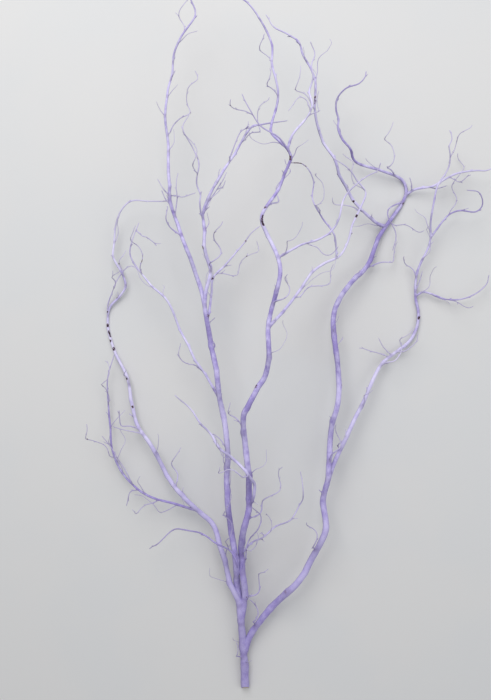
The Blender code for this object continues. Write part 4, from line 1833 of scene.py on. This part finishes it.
@dataclass(frozen=True)
class SprayPaint:
    """Matt lilac spray paint on dark bark, uneven, and missing in small patches.

    The noises are in features a metre, and those that follow the bark in features a
    millimetre. A span is where on its noise a thing begins and where it is full. Painted shade
    darkens the sides facing away from the spray, the crotches and the foot.
    """

    fresh: Colour = seen(226, 221, 250)
    full: Colour = seen(206, 199, 238)
    deep: Colour = seen(152, 138, 203)
    # Dark thin coat; mixed in on the sides away from the spray and in the crotches, it is also
    # painted shade
    thin_coat_shade: Colour = seen(120, 106, 153)
    twig_tip: Colour = seen(184, 178, 197)
    bark: Colour = seen(56, 43, 58)
    red_bark: Colour = seen(110, 78, 88)
    # Where the spray came from; the sides facing away from it are also darkened as painted shade,
    # as if lit from here
    spray_and_light_from: Place = (0.35, 0.45, 0.8)
    bare_share: float = 0.9
    roughness: float = 0.86
    specular: float = 0.2
    broad_noise: float = 7.0
    mottle_noise: float = 60.0
    streak_noise: float = 0.9
    dust_noise: float = 900.0
    grain_noise: float = 300.0
    patch_noise: float = 34.0
    fleck_noise: float = 0.8
    lenticels: float = 0.17
    streak_stretch: Place = (1.0, 1.0, 0.1)
    fleck_stretch: Place = (1.0, 1.0, 0.45)
    lenticel_stretch: Place = (1.0, 1.0, 0.6)
    deep_to_full: Span = (0.37, 0.53)
    full_to_fresh: Span = (0.50, 0.66)
    # Painted shade: span over which the paint is deepened towards the foot
    foot_shade_to_top: Span = (-0.75, 0.15)
    thin_girth: Span = (0.5, 2.3)
    thin_share: float = 0.55
    # How far the paint is deepened at the foot, as painted shade
    foot_shade_share: float = 0.6
    dust_share: float = 0.25
    # How far the crotches are darkened: painted shade, with the thinner coat there
    crotch_share: float = 0.4
    patch_span: Span = (0.82, 0.88)
    patch_share: float = 0.85
    fleck_span: Span = (0.69, 0.75)
    fleck_share: float = 0.75
    spot_span: Span = (1.38, 1.72)

    def material(self) -> bpy.types.Material:
        """Build the paint.

        Returns:
            The material.
        """
        board = NodeBoard("lilac_paint")
        place = board.place()
        bark = board.stored("bark_place", "Vector")
        crotch = board.stored("crotch")
        broad = board.noise(place, self.broad_noise, 2.0)
        mottle = board.noise(place, self.mottle_noise, 3.0, 0.6)
        streak = board.noise(board.stretch(bark, self.streak_stretch),
                             self.streak_noise, 3.0, 0.6)
        dust = board.noise(place, self.dust_noise, 2.0, 0.6)
        # How far the surface faces away from the spray: a thinner coat there, and painted shade
        # on that side
        away = board.spread(board.facing(self.spray_and_light_from), -0.45, 0.45, 1.0, 0.0)

        colour = self.coat(board, broad, mottle, streak, dust)
        thin = board.spread(board.stored("girth"), *self.thin_girth, self.thin_share, 0.0)
        colour = board.mix(thin, colour, self.twig_tip)
        # Mottled darkening towards the thin coat on the sides away from the spray: a thinner
        # coat, and painted shade
        starved_and_shaded = board.combine("MULTIPLY", away, board.spread(mottle, 0.34, 0.60, 0.15, 0.85))
        colour = board.mix(starved_and_shaded, colour, self.thin_coat_shade)
        # Painted shade deep in the crotches, with the thinner coat there, towards the dark thin
        # coat
        crotch_shade = board.spread(crotch, 0.3, 1.0, 0.0, self.crotch_share)
        colour = board.mix(crotch_shade, colour, self.thin_coat_shade)

        missed = self.missed(board, place, bark, mottle, streak, crotch, away)
        colour = board.mix(board.spread(missed, 0.0, 0.7), colour, self.red_bark)
        colour = board.mix(board.spread(missed, 0.45, 1.0), colour, self.bark)

        rough = board.spread(mottle, 0.3, 0.7, self.roughness - 0.08, self.roughness + 0.05)
        board.set_shader(Base_Color=colour, Roughness=rough, Specular_IOR_Level=self.specular)
        lenticel = board.dots(board.stretch(bark, self.lenticel_stretch), self.lenticels)
        board.bump(streak, 0.5, 0.0006)
        board.bump(board.spread(lenticel, 0.06, 0.17, 1.0, 0.0), 0.5, 0.0004)
        board.bump(dust, 0.35, 0.0002)
        board.bump(missed, -0.4, 0.0002)
        return board.material

    def coat(self, board: NodeBoard, broad: Socket, mottle: Socket, streak: Socket,
             dust: Socket) -> Socket:
        """Mix the paint's own tones, from a deep first coat to fresh overspray.

        Args:
            board: the material's nodes.
            broad: variation over a hand's width.
            mottle: variation over a thumb's width.
            streak: variation along the grain.
            dust: the finest overspray.

        Returns:
            The paint's colour, with painted shade towards the foot.
        """
        tone = board.weigh((broad, 0.42), (mottle, 0.38), (streak, 0.20),
                           (board.stored("coat"), 0.09))
        colour = board.mix(board.spread(tone, *self.deep_to_full), self.deep, self.full)
        colour = board.mix(board.spread(tone, *self.full_to_fresh), colour, self.fresh)
        # Painted shade: deepen the paint towards the foot of the branch
        along = board.part_of(board.place(), "Y")
        low = board.spread(along, *self.foot_shade_to_top, self.foot_shade_share, 0.0)
        colour = board.mix(low, colour, self.deep)
        dusted = board.spread(dust, 0.42, 0.75, 0.0, self.dust_share)
        return board.mix(dusted, colour, self.fresh)

    def missed(self, board: NodeBoard, place: Socket, bark: Socket, mottle: Socket,
               streak: Socket, crotch: Socket, away: Socket) -> Socket:
        """Work out where the spray missed the bark.

        Args:
            board: the material's nodes.
            place: the object's own coordinates.
            bark: the straightened place on the bark.
            mottle: variation over a thumb's width.
            streak: variation along the grain.
            crotch: share of a crotch.
            away: how far the surface faces away from the spray, the side that also gets painted
                shade.

        Returns:
            The share of bare bark.
        """
        grain = board.noise(place, self.grain_noise, 3.0, 0.65)
        cloud = board.noise(place, self.patch_noise, 4.0, 0.62)
        patch = board.weigh((cloud, 1.0), (crotch, 0.02), (away, 0.06), (streak, 0.10),
                            (grain, 0.12))
        patch = board.spread(patch, *self.patch_span, 0.0, self.patch_share)
        fleck = board.noise(board.stretch(bark, self.fleck_stretch), self.fleck_noise, 2.0, 0.7)
        fleck = board.spread(fleck, *self.fleck_span, 0.0, self.fleck_share)
        fleck = board.combine("MULTIPLY", fleck, board.spread(mottle, 0.42, 0.60))
        spot = board.weigh((board.stored("bare"), 1.0), (grain, 1.3), (streak, 0.5))
        spot = board.spread(spot, *self.spot_span)
        missed = board.combine("MAXIMUM", board.combine("MAXIMUM", patch, fleck), spot)
        return board.combine("MULTIPLY", missed, self.bare_share)


@dataclass(frozen=True)
class CutWood:
    """Pale wood where the stem was sawn, with its rings, pith and a mist of paint."""

    wood: Colour = seen(218, 204, 174)
    late_wood: Colour = seen(196, 174, 136)
    pith: Colour = seen(122, 90, 62)
    cambium: Colour = seen(146, 136, 94)
    mist: Colour = seen(184, 175, 216)
    rings: float = 5.0
    ring_waver: float = 0.5
    roughness: float = 0.8
    waver_noise: float = 260.0
    mist_noise: float = 420.0
    saw_noise: float = 1400.0
    mist_share: float = 0.7

    def material(self) -> bpy.types.Material:
        """Build the cut wood.

        Returns:
            The material.
        """
        board = NodeBoard("cut_wood")
        share = board.stored("from_pith")
        place = board.place()
        waver = board.noise(place, self.waver_noise)
        turned = board.weigh((share, self.rings), (waver, self.ring_waver))
        ring = board.combine("FRACT", turned, 0.0)
        colour = board.mix(board.spread(ring, 0.55, 0.98), self.wood, self.late_wood)
        colour = board.mix(board.spread(share, 0.06, 0.12, 1.0, 0.0), colour, self.pith)
        colour = board.mix(board.spread(share, 0.90, 0.97), colour, self.cambium)
        mist = board.noise(place, self.mist_noise, 4.0, 0.7)
        mist = board.spread(mist, 0.50, 0.68, 0.0, self.mist_share)
        colour = board.mix(mist, colour, self.mist)
        board.set_shader(Base_Color=colour, Roughness=self.roughness)
        board.bump(board.noise(place, self.saw_noise, 3.0, 0.7), 0.5, 0.0002)
        board.bump(ring, 0.25, 0.0002)
        return board.material


@dataclass(frozen=True)
class PaleFloor:
    """A plain pale grey table top."""

    colour: Colour = seen(218, 218, 218)
    cloudy: Colour = seen(216, 217, 218)
    cloud_noise: float = 3.0
    roughness: float = 0.9
    specular: float = 0.2

    def material(self) -> bpy.types.Material:
        """Build the table top.

        Returns:
            The material.
        """
        board = NodeBoard("pale_floor")
        cloud = board.spread(board.noise(board.place(), self.cloud_noise, 3.0), 0.4, 0.6)
        board.set_shader(Base_Color=board.mix(cloud, self.colour, self.cloudy),
                         Roughness=self.roughness, Specular_IOR_Level=self.specular)
        return board.material


@dataclass(frozen=True)
class SoftLight:
    """One large soft lamp: its place and size in metres, and its power in watts."""

    name: str
    place: Place
    size: float
    power: float
    colour: Colour = (1.0, 1.0, 1.0)


@dataclass(frozen=True)
class Studio:
    """The plain pale floor, the soft lamps and the camera over the branch, in metres."""

    floor_size: float = 12.0
    world_colour: Colour = (0.92, 0.93, 0.95)
    world_strength: float = 0.5
    lights: tuple[SoftLight, ...] = (
        SoftLight("key_light", (-0.7, 2.1, 2.3), 2.1, 64.0, (1.0, 0.99, 0.975)),
        SoftLight("fill_light", (1.8, 0.1, 2.4), 2.0, 12.0, (0.96, 0.97, 1.0)),
    )
    aim: Place = (0.0, 0.1, 0.05)
    image_height: float = 700.0
    focal_pixels: float = 850.0
    sensor: float = 36.0
    camera_height: float = 1.78
    below_camera: Place = (-0.09009, 0.21121, 0.0)
    tilt_pixels: float = 100.0

    def build_floor(self, material: bpy.types.Material) -> None:
        """Lay the floor that the branch lies on.

        Args:
            material: the table top.
        """
        mesh = bpy.data.meshes.new("pale_floor")
        half = self.floor_size / 2.0
        mesh.from_pydata([(-half, -half, 0.0), (half, -half, 0.0), (half, half, 0.0),
                          (-half, half, 0.0)], [], [(0, 1, 2, 3)])
        floor = bpy.data.objects.new("pale_floor", mesh)
        bpy.context.scene.collection.objects.link(floor)
        mesh.materials.append(material)
        LOG.info("pale_floor laid")

    def build_lights(self) -> None:
        """Hang the lamps and set the room's own soft light."""
        for light in self.lights:
            lamp = bpy.data.lights.new(light.name, "AREA")
            lamp.size = light.size
            lamp.energy = light.power
            lamp.color = light.colour
            holder = bpy.data.objects.new(light.name, lamp)
            holder.location = light.place
            aim = Vector(self.aim) - Vector(light.place)
            holder.rotation_euler = aim.to_track_quat("-Z", "Y").to_euler()
            bpy.context.scene.collection.objects.link(holder)
        world = bpy.data.worlds.new("soft_room")
        world.use_nodes = True
        backdrop = world.node_tree.nodes["Background"]
        backdrop.inputs["Color"].default_value = (*self.world_colour, 1.0)
        backdrop.inputs["Strength"].default_value = self.world_strength
        bpy.context.scene.world = world
        bpy.context.scene.view_settings.view_transform = "Standard"
        LOG.info("%d lamps hung", len(self.lights))

    def build_camera(self) -> None:
        """Hold the camera over the lying branch, at the angle the photo sees it from."""
        camera = bpy.data.cameras.new("camera")
        camera.sensor_width = self.sensor
        camera.lens = self.focal_pixels / self.image_height * self.sensor
        holder = bpy.data.objects.new("camera", camera)
        holder.location = Vector(self.below_camera) + Vector((0.0, 0.0, self.camera_height))
        holder.rotation_euler = (-math.atan(self.tilt_pixels / self.focal_pixels), 0.0, 0.0)
        bpy.context.scene.collection.objects.link(holder)
        bpy.context.scene.camera = holder
        LOG.info("camera set")


def main() -> None:
    """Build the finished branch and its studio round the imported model."""
    logging.basicConfig(level=logging.INFO, format="%(message)s")
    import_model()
    skeleton = Skeleton()
    bark_map = BarkMap(skeleton.shoots + skeleton.fine)
    paint = SprayPaint().material()
    BarkSkin(skeleton.shoots).build(paint, bark_map)
    FineTwigs(skeleton.fine).build(paint, bark_map)
    Buds(skeleton.shoots).build(paint, bark_map)
    CutEnd(skeleton.shoots[0]).build(CutWood().material())
    studio = Studio()
    studio.build_floor(PaleFloor().material())
    studio.build_lights()
    studio.build_camera()


if __name__ == "__main__":
    main()
